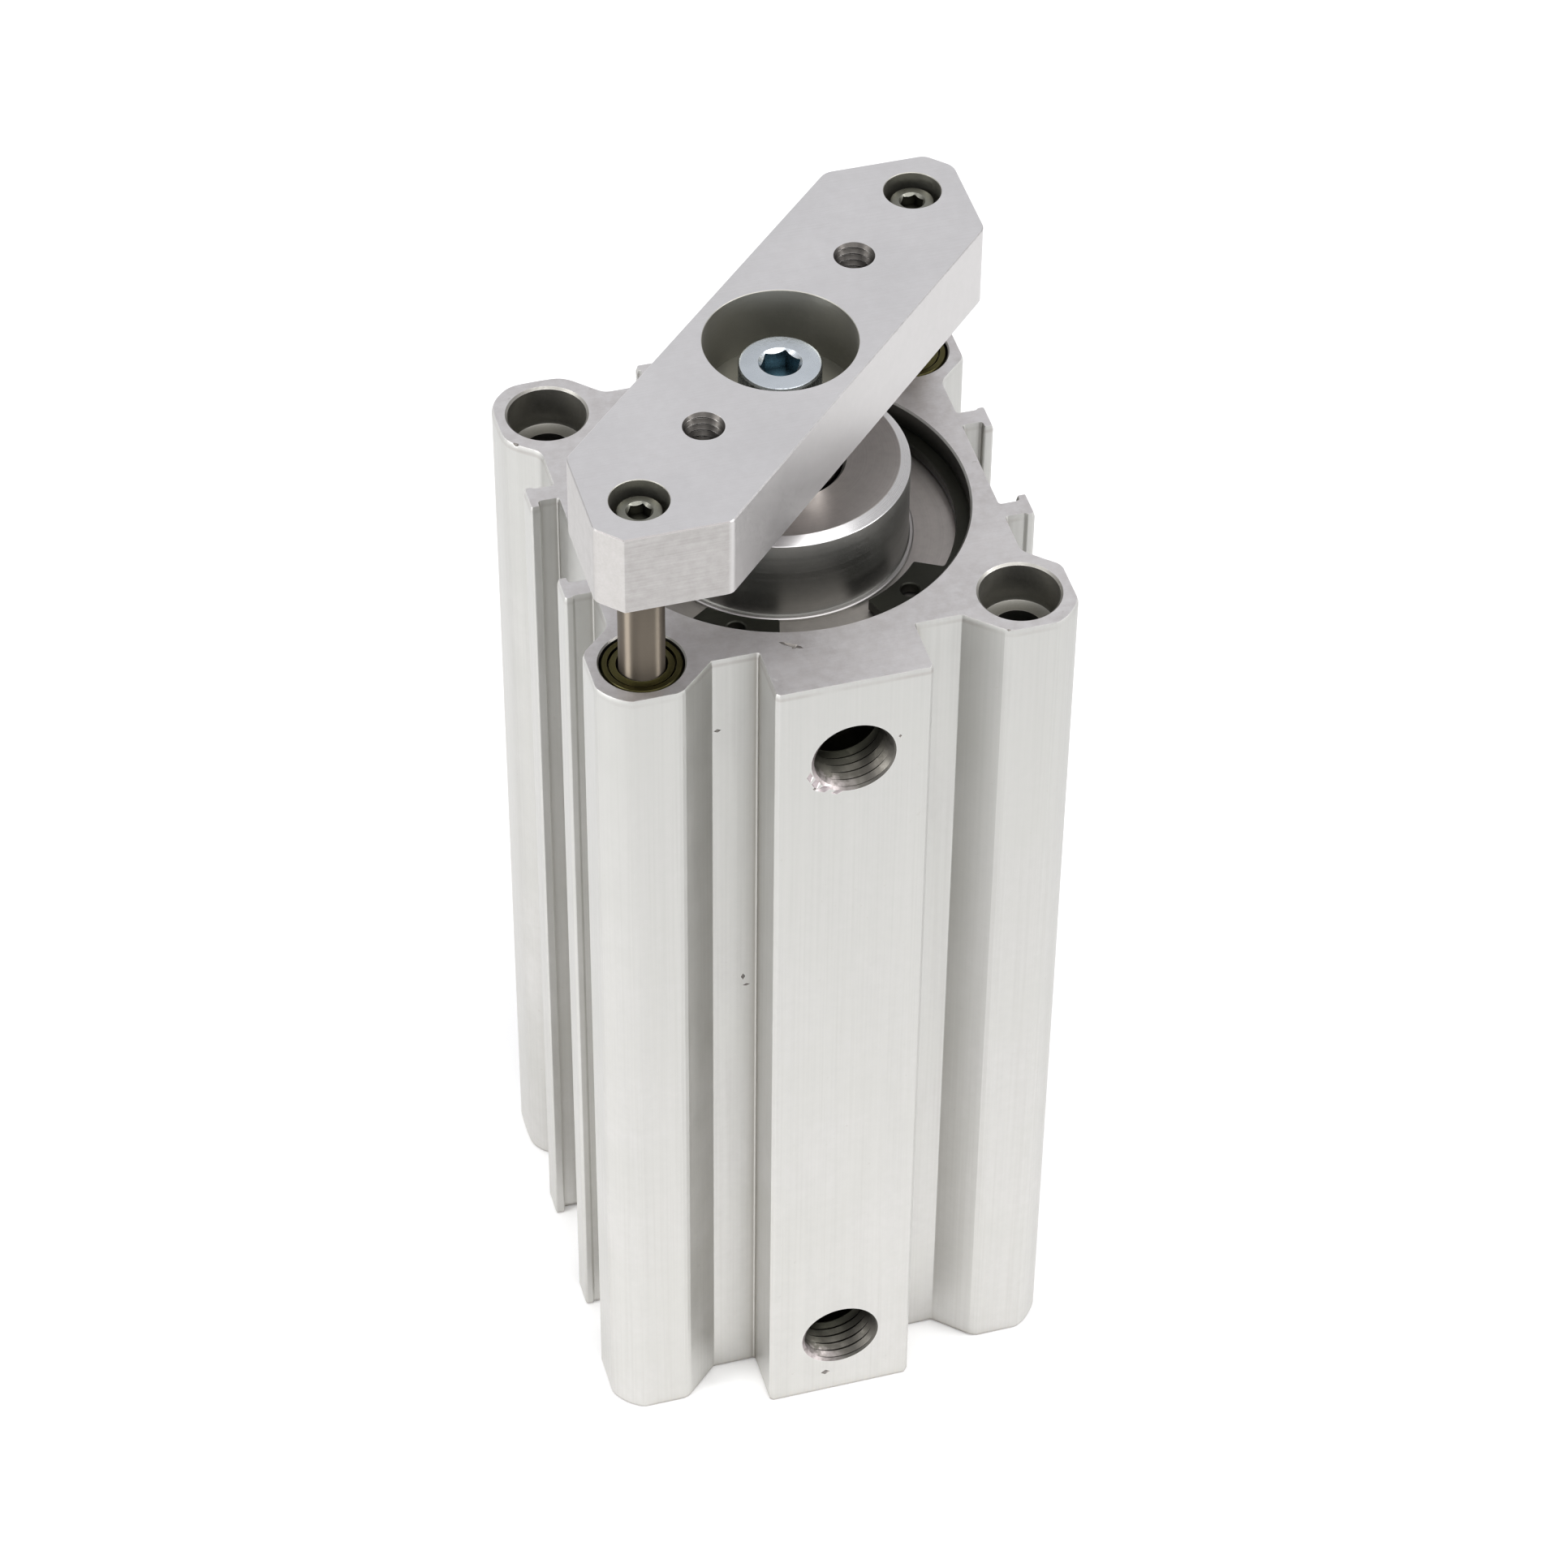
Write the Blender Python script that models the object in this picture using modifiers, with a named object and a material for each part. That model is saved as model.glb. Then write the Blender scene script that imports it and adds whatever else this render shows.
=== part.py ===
"""Compact pneumatic cylinder with two guide rods, 50 mm bore and 100 mm stroke.

All driving sizes are in millimetres; the scene is in metres with +Z along the stroke.
The origin is the centre of the base, the port face looks towards -Y.
"""

import math

import bmesh
import bpy

MM = 0.001
OBJECT_NAME = "guide_rod_cylinder"

# Cylinder tube: a square extrusion with a round lobe at each corner.
BODY_HEIGHT = 140.5
HALF_WIDTH = 32.0
BORE_RADIUS = 25.0
HOLE_OFFSET = 25.0
LOBE_RADIUS = 7.65
SIDE_FLOOR = 27.7
FACE_FLOOR = 27.4
SIDE_FOOT = 17.5
FACE_FOOT = 16.5
RAIL_OUTER = 10.9
RAIL_INNER = 7.0
RAIL_TIP = 31.6
RAIL_NECK = 30.2
RAIL_UNDERCUT = 8.0
RAIL_BEAK = 11.2
PORT_BLOCK_HALF = 10.4
PORT_FACE = 35.75
BLOCK_CHAMFER = 0.5

# Air ports in the front block.
PORT_HEIGHTS = {"upper": 127.2, "lower": 11.8}
PORT_THREAD_RADIUS = 5.5
PORT_MOUTH_RADIUS = 5.8
PORT_FLOOR = 26.4
PASSAGE_RADIUS = 2.2

# Long mounting holes through two corners.
MOUNTING_CORNERS = {"back_left": (-1, 1), "front_right": (1, -1)}
COUNTERBORE_RADIUS = 5.4
COUNTERBORE_DEPTH = 6.3
THROUGH_RADIUS = 3.3

# Guide rods, their bushes and bores in the other two corners.
GUIDE_CORNERS = {"front_left": (-1, -1), "back_right": (1, 1)}
GUIDE_ROD_RADIUS = 3.0
GUIDE_ROD_BOTTOM = 8.0
GUIDE_BORE_RADIUS = 3.8
BUSH_SEAT_RADIUS = 5.5
BUSH_SEAT_HEIGHT = 119.6
BUSH_BOTTOM = 119.9
BUSH_TOP = 138.3
BUSH_RADIUS = 5.35
BUSH_HOLE_RADIUS = 3.15
WIPER_RANGE = (138.6, 140.25)
WIPER_RADII = (3.2, 5.3)

# Covers and retaining rings; the base end mirrors these distances from the top.
COVER_FACE_DEPTH = 5.2
COVER_RADIUS = 24.7
COVER_FLANGE = 4.6
COVER_PLUG_RADIUS = 22.6
COVER_LENGTH_IN_BORE = 6.0
HEAD_PLUG = 5.4
BOSS_RADIUS = 17.05
BOSS_TOP_RADIUS = 15.64
BOSS_RISE = 7.9
BOSS_CHAMFER = 0.8
BOSS_FOOT_RADIUS = 17.7
BOSS_FOOT = 0.5
O_RING_GROOVE_RADIUS = 23.0
O_RING_GROOVE = (1.2, 3.6)
O_RING_RADIUS = 0.9
O_RING_CENTRE = 24.0
RING_GROOVE_RADIUS = 26.2
RING_GROOVE = (3.1, 5.2)
RING_RANGE = (3.3, 5.05)
RING_OUTER = 25.9
RING_INNER = 23.2
RING_LUG_INNER = 19.2
RING_TURN = 2.8
RING_HALF_GAP = 18.2
RING_LUG_ANGLE = 29.0
RING_HOLE_RADIUS = 1.25
RING_HOLE_CENTRE = 21.6
RING_HOLE_ANGLE = 33.2
RING_HOLE_STEPS = 12

# Rod bush and rod seal inside the rod cover.
ROD_BUSH_RANGE = (129.7, 140.7)
ROD_BUSH_RADII = (8.15, 9.45)
ROD_BUSH_BORE = (9.6, 141.0)
ROD_CLEARANCE = 8.3
ROD_MOUTH = (8.75, 0.6)
SEAL_GROOVE = (141.8, 146.6, 11.6)

# Piston rod.
ROD_RADIUS = 8.0
ROD_TOP = 155.3
ROD_SHOULDER = 22.3
ROD_SPIGOT_RADIUS = 6.0
ROD_SPIGOT_BOTTOM = 12.5
ROD_THREAD_RADIUS = 3.25
ROD_THREAD_BOTTOM = 139.0

# Piston and everything it carries.
PISTON_RADIUS = 24.7
PISTON_BOTTOM = 12.0
PISTON_TOP = 27.8
PISTON_SEAL_GROOVE = (22.2, 25.6, 20.8)
MAGNET_GROOVE = (16.8, 20.4, 19.9)
WEAR_GROOVE = (13.2, 15.6, 23.1)
BUMPER_GROOVE = (13.7, 19.3, 1.4)
BUMPER_RADII = (14.0, 19.0)
BUMPER_HEIGHT = 2.2
BUMPER_PROUD = 1.0
ROD_SEAT = (8.3, 22.0)
ROD_O_RING_SEAT = (8.05, 20.4)
ROD_O_RING = (7.15, 0.7, 21.2)
PISTON_HOLE_RADIUS = 6.3
NUT_RECESS = (10.4, 17.0)
NUT_RANGE = (12.4, 16.7)
NUT_CORNER_RADIUS = 9.8

# End plate on the diagonal between the guide rods.
PLATE_BOTTOM = 155.6
PLATE_THICKNESS = 12.0
PLATE_HALF_WIDTH = 11.9
PLATE_REACH = 31.8
PLATE_NOSE = 42.8
PLATE_EDGE_CHAMFER = 0.2
PLATE_WELL_RADIUS = 10.0
PLATE_WELL_FLOOR = 158.0
BOLT_HOLE_RADIUS = 3.4
GUIDE_SCREW_WELL = (3.8, 162.4)
GUIDE_SCREW_HOLE_RADIUS = 1.75
GUIDE_SPIGOT = (3.3, 158.0)
TAPPED_HOLE_RADIUS = 2.5
TAPPED_HOLE_OFFSET = 13.8

# Screws: head radius and height, shank radius, underside of head, tip, hexagon and its depth.
PLATE_BOLT = (5.4, 5.9, 2.9, 158.1, 141.0, 2.7, 3.0)
GUIDE_SCREW = (2.9, 3.4, 1.45, 162.5, 148.0, 1.45, 1.8)
GUIDE_THREAD = (1.7, 146.0)
GUIDE_ROD_TOP = 157.8

FINE_STEPS = 40
INNER_STEPS = 32
HOLE_STEPS = 20
TORUS_SIDES = 6
THROUGH_CUT = 1.0

MATERIALS = {
    "anodised_body": ((0.70, 0.69, 0.67), 0.42, 0.85),
    "machined_plate": ((0.66, 0.65, 0.67), 0.38, 0.9),
    "cover_alloy": ((0.20, 0.20, 0.20), 0.45, 0.8),
    "ring_steel": ((0.03, 0.03, 0.03), 0.45, 0.6),
    "chrome_rod": ((0.75, 0.75, 0.76), 0.12, 1.0),
    "bolt_steel": ((0.60, 0.64, 0.70), 0.3, 1.0),
    "bush_bronze": ((0.24, 0.21, 0.12), 0.5, 0.9),
    "seal_rubber": ((0.02, 0.02, 0.02), 0.6, 0.0),
    "bumper_rubber": ((0.12, 0.08, 0.04), 0.6, 0.0),
    "magnet": ((0.10, 0.10, 0.11), 0.6, 0.2),
    "wear_plastic": ((0.30, 0.22, 0.12), 0.55, 0.0),
    "piston_alloy": ((0.62, 0.62, 0.60), 0.4, 0.9),
}


def clear_scene():
    for item in list(bpy.data.objects):
        bpy.data.objects.remove(item, do_unlink=True)


def make_collection(name):
    collection = bpy.data.collections.new(name)
    bpy.context.scene.collection.children.link(collection)
    return collection


def make_material(name):
    colour, roughness, metallic = MATERIALS[name]
    material = bpy.data.materials.new(name)
    material.use_nodes = True
    shader = material.node_tree.nodes["Principled BSDF"]
    shader.inputs["Base Color"].default_value = (*colour, 1.0)
    shader.inputs["Roughness"].default_value = roughness
    shader.inputs["Metallic"].default_value = metallic
    return material


def place(name, mesh, collection, slot=None, corner=(0, 0)):
    """Make an object at one of the four corner axes, or on the centre axis."""
    item = bpy.data.objects.new(name, mesh)
    item.location = (corner[0] * HOLE_OFFSET * MM, corner[1] * HOLE_OFFSET * MM, 0.0)
    collection.objects.link(item)
    if slot:
        mesh.materials.append(make_material(slot))
    return item


def as_cutter(item):
    item.hide_render = True
    item.display_type = "WIRE"
    return item


def cut(item, cutters):
    """Take each cutter away from the object."""
    for cutter in cutters:
        modifier = item.modifiers.new(cutter.name, "BOOLEAN")
        modifier.operation = "DIFFERENCE"
        modifier.solver = "EXACT"
        modifier.object = as_cutter(cutter)
    return item


def turned(name, profile, steps, collection, slot=None, corner=(0, 0)):
    """Spin a profile of (radius, height) points about the vertical axis.

    The points run down the outer side; a profile touching the axis at both ends is left
    open there, any other profile is closed.
    """
    mesh = bpy.data.meshes.new(name)
    points = [(radius * MM, 0.0, height * MM) for radius, height in profile]
    edges = [(i, i + 1) for i in range(len(points) - 1)]
    if profile[0][0] > 0.0:
        edges.append((len(points) - 1, 0))
    mesh.from_pydata(points, edges, [])
    item = place(name, mesh, collection, slot, corner)
    screw = item.modifiers.new("Turn", "SCREW")
    screw.axis = "Z"
    screw.angle = math.tau
    screw.steps = steps
    screw.render_steps = steps
    screw.use_merge_vertices = True
    screw.merge_threshold = 0.000005
    screw.use_smooth_shade = False
    return item


def prism(name, outline, bottom, top, collection, slot=None, corner=(0, 0)):
    """Raise an anticlockwise outline of (x, y) points between two heights."""
    mesh = bpy.data.meshes.new(name)
    shape = bmesh.new()
    shape.faces.new([shape.verts.new((x * MM, y * MM, bottom * MM)) for x, y in outline])
    shape.to_mesh(mesh)
    shape.free()
    item = place(name, mesh, collection, slot, corner)
    solid = item.modifiers.new("Raise", "SOLIDIFY")
    solid.thickness = (top - bottom) * MM
    solid.offset = 1.0
    return item


def arc(radius, start, end, segments, centre=(0.0, 0.0)):
    """Points on an arc, angles in degrees."""
    points = []
    for i in range(segments + 1):
        angle = math.radians(start + (end - start) * i / segments)
        points.append((centre[0] + radius * math.cos(angle),
                       centre[1] + radius * math.sin(angle)))
    return points


def torus_profile(centre, radius, height):
    """A round section, listed clockwise so that it starts down its outer side."""
    angles = [math.tau * i / TORUS_SIDES for i in range(TORUS_SIDES)]
    return [(centre + radius * math.cos(a), height - radius * math.sin(a)) for a in angles]


def turn_quarter(points):
    """Rotate points a quarter turn anticlockwise."""
    return [(-y, x) for x, y in points]


def lobe_points(foot_side, foot_face):
    """Corner lobe in the +X +Y quadrant, from the side foot round to the face foot."""
    centre = (HOLE_OFFSET, HOLE_OFFSET)
    flat = math.degrees(math.acos((HALF_WIDTH - HOLE_OFFSET) / LOBE_RADIUS))
    points = [foot_side]
    points += arc(LOBE_RADIUS, -45.0, -flat, 2, centre)
    points += arc(LOBE_RADIUS, flat, 90.0 - flat, 4, centre)
    points += arc(LOBE_RADIUS, 90.0 + flat, 135.0, 2, centre)
    points.append(foot_face)
    return points


def rail_half(floor):
    """One undercut switch rail beside the channel of a +X face, from the channel outwards."""
    return [
        (floor, RAIL_UNDERCUT), (RAIL_NECK, RAIL_UNDERCUT), (RAIL_NECK, RAIL_INNER),
        (RAIL_TIP - 0.2, RAIL_INNER), (RAIL_TIP, RAIL_INNER + 0.2),
        (RAIL_TIP, RAIL_OUTER), (RAIL_TIP - 0.3, RAIL_BEAK),
        (RAIL_NECK + 0.3, RAIL_BEAK), (RAIL_NECK, RAIL_OUTER), (floor, RAIL_OUTER),
    ]


def rails(floor):
    """Both rails of a +X face, listed from -Y to +Y."""
    upper = rail_half(floor)
    lower = [(x, -y) for x, y in reversed(upper)]
    return lower + upper


def port_block():
    """The block that carries the ports, drawn on a +X face."""
    c = BLOCK_CHAMFER
    half = PORT_BLOCK_HALF
    return [
        (FACE_FLOOR, -half), (PORT_FACE - c, -half), (PORT_FACE, -half + c),
        (PORT_FACE, half - c), (PORT_FACE - c, half), (FACE_FLOOR, half),
    ]


def tube_outline():
    """Cross-section of the extrusion, anticlockwise from the middle of the +X face."""
    side_lobe = lobe_points((SIDE_FLOOR, SIDE_FOOT), (FACE_FOOT, FACE_FLOOR))
    face_lobe = lobe_points((FACE_FLOOR, FACE_FOOT), (SIDE_FOOT, SIDE_FLOOR))
    outline = rails(SIDE_FLOOR) + side_lobe
    outline += turn_quarter(rails(FACE_FLOOR) + face_lobe)
    outline += turn_quarter(turn_quarter(rails(SIDE_FLOOR) + side_lobe))
    outline += turn_quarter(turn_quarter(turn_quarter(port_block() + face_lobe)))
    return outline


def bore_cutter(collection):
    """The bore with a retaining-ring groove near each end."""
    near, far = RING_GROOVE
    return turned("cut_bore", [
        (0.0, BODY_HEIGHT + THROUGH_CUT),
        (BORE_RADIUS, BODY_HEIGHT + THROUGH_CUT), (BORE_RADIUS, BODY_HEIGHT - near),
        (RING_GROOVE_RADIUS, BODY_HEIGHT - near), (RING_GROOVE_RADIUS, BODY_HEIGHT - far),
        (BORE_RADIUS, BODY_HEIGHT - far), (BORE_RADIUS, far),
        (RING_GROOVE_RADIUS, far), (RING_GROOVE_RADIUS, near),
        (BORE_RADIUS, near), (BORE_RADIUS, -THROUGH_CUT), (0.0, -THROUGH_CUT),
    ], FINE_STEPS, collection)


def mounting_cutter(name, corner, collection):
    """A long through hole with a counterbore at both ends."""
    depth = COUNTERBORE_DEPTH
    return turned(f"cut_mounting_{name}", [
        (0.0, BODY_HEIGHT + THROUGH_CUT),
        (COUNTERBORE_RADIUS, BODY_HEIGHT + THROUGH_CUT), (COUNTERBORE_RADIUS, BODY_HEIGHT - depth),
        (THROUGH_RADIUS, BODY_HEIGHT - depth), (THROUGH_RADIUS, depth),
        (COUNTERBORE_RADIUS, depth), (COUNTERBORE_RADIUS, -THROUGH_CUT), (0.0, -THROUGH_CUT),
    ], HOLE_STEPS, collection, corner=corner)


def guide_bore_cutter(name, corner, collection):
    """A guide bore with the bush seat at the top."""
    return turned(f"cut_guide_{name}", [
        (0.0, BODY_HEIGHT + THROUGH_CUT),
        (BUSH_SEAT_RADIUS, BODY_HEIGHT + THROUGH_CUT), (BUSH_SEAT_RADIUS, BUSH_SEAT_HEIGHT),
        (GUIDE_BORE_RADIUS, BUSH_SEAT_HEIGHT), (GUIDE_BORE_RADIUS, -THROUGH_CUT),
        (0.0, -THROUGH_CUT),
    ], HOLE_STEPS, collection, corner=corner)


def port_cutter(name, height, collection):
    """A countersunk port with a passage into the bore, drawn upright then laid along -Y."""
    mouth = PORT_MOUTH_RADIUS - PORT_THREAD_RADIUS
    cutter = turned(f"cut_port_{name}", [
        (0.0, PORT_FACE + THROUGH_CUT),
        (PORT_MOUTH_RADIUS, PORT_FACE + THROUGH_CUT), (PORT_MOUTH_RADIUS, PORT_FACE),
        (PORT_THREAD_RADIUS, PORT_FACE - mouth), (PORT_THREAD_RADIUS, PORT_FLOOR),
        (PASSAGE_RADIUS, PORT_FLOOR), (PASSAGE_RADIUS, BORE_RADIUS - THROUGH_CUT),
        (0.0, BORE_RADIUS - THROUGH_CUT),
    ], HOLE_STEPS, collection)
    cutter.rotation_euler = (math.pi / 2.0, 0.0, 0.0)
    cutter.location = (0.0, 0.0, height * MM)
    return cutter


def build_tube(parts, tools):
    tube = prism("cylinder_tube", tube_outline(), 0.0, BODY_HEIGHT, parts, "anodised_body")
    cutters = [bore_cutter(tools)]
    cutters += [mounting_cutter(name, corner, tools)
                for name, corner in MOUNTING_CORNERS.items()]
    cutters += [guide_bore_cutter(name, corner, tools)
                for name, corner in GUIDE_CORNERS.items()]
    cutters += [port_cutter(name, height, tools) for name, height in PORT_HEIGHTS.items()]
    cut(tube, cutters)


def ring_outline():
    """A retaining ring open close to -Y with a wider lug at each end."""
    start = RING_TURN - 90.0 + RING_HALF_GAP
    end = RING_TURN + 270.0 - RING_HALF_GAP
    outline = arc(RING_OUTER, start, end, 40)
    outline += arc(RING_LUG_INNER, end, end - RING_LUG_ANGLE, 4)
    outline += arc(RING_INNER, end - RING_LUG_ANGLE - 2.0, start + RING_LUG_ANGLE + 2.0, 32)
    outline += arc(RING_LUG_INNER, start + RING_LUG_ANGLE, start, 4)
    return outline


def build_retaining_ring(name, bottom, top, parts, tools):
    ring = prism(name, ring_outline(), bottom, top, parts, "ring_steel")
    holes = []
    for side in (-1, 1):
        hole = turned(f"cut_{name}_{side + 1}", [
            (0.0, top + THROUGH_CUT), (RING_HOLE_RADIUS, top + THROUGH_CUT),
            (RING_HOLE_RADIUS, bottom - THROUGH_CUT), (0.0, bottom - THROUGH_CUT),
        ], RING_HOLE_STEPS, tools)
        angle = math.radians(RING_TURN - 90.0 + side * RING_HOLE_ANGLE)
        hole.location = (RING_HOLE_CENTRE * math.cos(angle) * MM,
                         RING_HOLE_CENTRE * math.sin(angle) * MM, 0.0)
        holes.append(hole)
    cut(ring, holes)


def build_rod_cover(parts):
    face = BODY_HEIGHT - COVER_FACE_DEPTH
    top = BODY_HEIGHT + BOSS_RISE
    near, far = O_RING_GROOVE
    groove_low, groove_high, groove_radius = SEAL_GROOVE
    bush_bore, bush_end = ROD_BUSH_BORE
    mouth_radius, mouth_depth = ROD_MOUTH
    turned("rod_cover", [
        (BOSS_TOP_RADIUS, top), (BOSS_RADIUS, top - BOSS_CHAMFER),
        (BOSS_RADIUS, face + BOSS_FOOT), (BOSS_FOOT_RADIUS, face + BOSS_FOOT),
        (BOSS_FOOT_RADIUS, face), (COVER_RADIUS, face), (COVER_RADIUS, face - near),
        (O_RING_GROOVE_RADIUS, face - near), (O_RING_GROOVE_RADIUS, face - far),
        (COVER_RADIUS, face - far), (COVER_RADIUS, face - COVER_FLANGE),
        (COVER_PLUG_RADIUS, face - COVER_FLANGE),
        (COVER_PLUG_RADIUS, face - COVER_LENGTH_IN_BORE),
        (bush_bore, face - COVER_LENGTH_IN_BORE), (bush_bore, bush_end),
        (ROD_CLEARANCE, bush_end), (ROD_CLEARANCE, groove_low),
        (groove_radius, groove_low), (groove_radius, groove_high),
        (ROD_CLEARANCE, groove_high), (ROD_CLEARANCE, top - mouth_depth), (mouth_radius, top),
    ], FINE_STEPS, parts, "cover_alloy")
    turned("rod_cover_o_ring",
           torus_profile(O_RING_CENTRE, O_RING_RADIUS, face - (near + far) / 2.0),
           INNER_STEPS, parts, "seal_rubber")


def build_head_cover(parts):
    face = COVER_FACE_DEPTH
    near, far = O_RING_GROOVE
    turned("head_cover", [
        (0.0, face + HEAD_PLUG), (COVER_PLUG_RADIUS, face + HEAD_PLUG),
        (COVER_PLUG_RADIUS, face + COVER_FLANGE), (COVER_RADIUS, face + COVER_FLANGE),
        (COVER_RADIUS, face + far), (O_RING_GROOVE_RADIUS, face + far),
        (O_RING_GROOVE_RADIUS, face + near), (COVER_RADIUS, face + near),
        (COVER_RADIUS, face), (BOSS_RADIUS, face), (BOSS_RADIUS, 0.0), (0.0, 0.0),
    ], FINE_STEPS, parts, "cover_alloy")
    turned("head_cover_o_ring",
           torus_profile(O_RING_CENTRE, O_RING_RADIUS, face + (near + far) / 2.0),
           INNER_STEPS, parts, "seal_rubber")


def build_rod_bearing(parts):
    """The plain bush and the U-shaped lip seal that the piston rod runs in."""
    low, high = ROD_BUSH_RANGE
    inner, outer = ROD_BUSH_RADII
    turned("rod_bush", [(outer, high), (outer, low), (inner, low), (inner, high)],
           INNER_STEPS, parts, "bush_bronze")
    groove_low, groove_high, groove_radius = SEAL_GROOVE
    low = groove_low + 0.2
    high = groove_high - 0.2
    outer = groove_radius - 0.2
    turned("rod_seal", [
        (outer, high), (outer, low + 0.3), (outer - 0.6, low), (outer - 1.3, low + 1.7),
        (inner + 0.6, low), (inner, low + 0.7), (inner + 0.5, high - 0.8),
        (inner + 0.7, high),
    ], INNER_STEPS, parts, "seal_rubber")


def build_guides(parts):
    """Static bush in each guide corner with a wiper above it."""
    low, high = WIPER_RANGE
    inner, outer = WIPER_RADII
    for name, corner in GUIDE_CORNERS.items():
        turned(f"guide_bush_{name}", [
            (BUSH_RADIUS - 0.3, BUSH_TOP), (BUSH_RADIUS, BUSH_TOP - 0.3),
            (BUSH_RADIUS, BUSH_BOTTOM), (BUSH_HOLE_RADIUS, BUSH_BOTTOM),
            (BUSH_HOLE_RADIUS, BUSH_TOP - 0.4), (BUSH_HOLE_RADIUS + 0.4, BUSH_TOP),
        ], HOLE_STEPS, parts, "bush_bronze", corner)
        turned(f"guide_wiper_{name}", [
            (outer - 0.3, high), (outer, high - 0.3), (outer, low), (inner, low),
            (inner, high - 0.4), (inner + 0.4, high),
        ], HOLE_STEPS, parts, "bush_bronze", corner)


def build_piston(parts):
    seal_low, seal_high, seal_floor = PISTON_SEAL_GROOVE
    magnet_low, magnet_high, magnet_floor = MAGNET_GROOVE
    wear_low, wear_high, wear_floor = WEAR_GROOVE
    bumper_inner, bumper_outer, bumper_depth = BUMPER_GROOVE
    seat_radius, seat_floor = ROD_SEAT
    ring_radius, ring_floor = ROD_O_RING_SEAT
    nut_radius, nut_roof = NUT_RECESS
    radius, top, bottom = PISTON_RADIUS, PISTON_TOP, PISTON_BOTTOM
    return turned("piston", [
        (radius - 0.3, top), (radius, top - 0.3), (radius, seal_high),
        (seal_floor, seal_high), (seal_floor, seal_low), (radius, seal_low),
        (radius, magnet_high), (magnet_floor, magnet_high), (magnet_floor, magnet_low),
        (radius, magnet_low), (radius, wear_high), (wear_floor, wear_high),
        (wear_floor, wear_low), (radius, wear_low), (radius, bottom + 0.3),
        (radius - 0.3, bottom), (bumper_outer, bottom), (bumper_outer, bottom + bumper_depth),
        (bumper_inner, bottom + bumper_depth), (bumper_inner, bottom), (nut_radius, bottom),
        (nut_radius, nut_roof), (PISTON_HOLE_RADIUS, nut_roof),
        (PISTON_HOLE_RADIUS, ring_floor), (ring_radius, ring_floor),
        (ring_radius, seat_floor), (seat_radius, seat_floor), (seat_radius, top),
        (bumper_inner, top), (bumper_inner, top - bumper_depth),
        (bumper_outer, top - bumper_depth), (bumper_outer, top),
    ], INNER_STEPS, parts, "piston_alloy")


def build_piston_rings(parts):
    """Seal, magnet, wear ring and end bumpers, each a little smaller than its groove."""
    low, high, floor = PISTON_SEAL_GROOVE
    lip = BORE_RADIUS - 0.1
    seal = turned("piston_seal", [
        (lip, high - 0.9), (lip, low + 0.9), (lip - 0.5, low + 0.2), (floor + 0.2, low + 0.2),
        (floor + 0.2, high - 0.2), (lip - 0.5, high - 0.2),
    ], INNER_STEPS, parts, "seal_rubber")
    low, high, floor = MAGNET_GROOVE
    magnet = turned("magnet_ring", [
        (PISTON_RADIUS - 0.8, high - 0.2), (PISTON_RADIUS - 0.8, low + 0.2),
        (floor + 0.2, low + 0.2), (floor + 0.2, high - 0.2),
    ], INNER_STEPS, parts, "magnet")
    low, high, floor = WEAR_GROOVE
    outline = arc(BORE_RADIUS - 0.15, 1.5, 358.5, INNER_STEPS)
    outline += arc(floor + 0.2, 358.5, 1.5, INNER_STEPS)
    wear = prism("wear_ring", outline, low + 0.2, high - 0.2, parts, "wear_plastic")
    inner, outer = BUMPER_RADII
    bottoms = {"head_side": PISTON_BOTTOM - BUMPER_PROUD,
               "rod_side": PISTON_TOP + BUMPER_PROUD - BUMPER_HEIGHT}
    bumpers = []
    for name, bottom in bottoms.items():
        top = bottom + BUMPER_HEIGHT
        bumpers.append(turned(f"bumper_{name}", [
            (outer, top), (outer, bottom), (inner, bottom), (inner, top),
        ], INNER_STEPS, parts, "bumper_rubber"))
    return [seal, magnet, wear] + bumpers


def build_piston_rod(parts):
    rod = turned("piston_rod", [
        (0.0, ROD_THREAD_BOTTOM), (ROD_THREAD_RADIUS, ROD_THREAD_BOTTOM),
        (ROD_THREAD_RADIUS, ROD_TOP), (ROD_RADIUS - 0.5, ROD_TOP),
        (ROD_RADIUS, ROD_TOP - 0.5), (ROD_RADIUS, ROD_SHOULDER),
        (ROD_SPIGOT_RADIUS, ROD_SHOULDER), (ROD_SPIGOT_RADIUS, ROD_SPIGOT_BOTTOM),
        (0.0, ROD_SPIGOT_BOTTOM),
    ], FINE_STEPS, parts, "chrome_rod")
    centre, radius, height = ROD_O_RING
    gasket = turned("piston_rod_o_ring", torus_profile(centre, radius, height),
                    HOLE_STEPS, parts, "seal_rubber")
    return [rod, gasket]


def build_piston_nut(parts, tools):
    low, high = NUT_RANGE
    nut = prism("piston_nut", arc(NUT_CORNER_RADIUS, 0.0, 300.0, 5), low, high, parts,
                "bolt_steel")
    hole = turned("cut_piston_nut", [
        (0.0, high + THROUGH_CUT), (PISTON_HOLE_RADIUS, high + THROUGH_CUT),
        (PISTON_HOLE_RADIUS, low - THROUGH_CUT), (0.0, low - THROUGH_CUT),
    ], HOLE_STEPS, tools)
    return cut(nut, [hole])


def plate_outline():
    """The diagonal bar, its ends cut square with the body sides and across the nose."""
    corner_sum = PLATE_REACH * math.sqrt(2.0)
    across = corner_sum - PLATE_NOSE
    along = corner_sum - PLATE_HALF_WIDTH
    quarter = [(PLATE_NOSE, across), (along, PLATE_HALF_WIDTH)]
    half = [(a, -c) for a, c in reversed(quarter)] + quarter
    points = half + [(-a, -c) for a, c in half]
    root = math.sqrt(0.5)
    return [((a - c) * root, (a + c) * root) for a, c in points]


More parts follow.
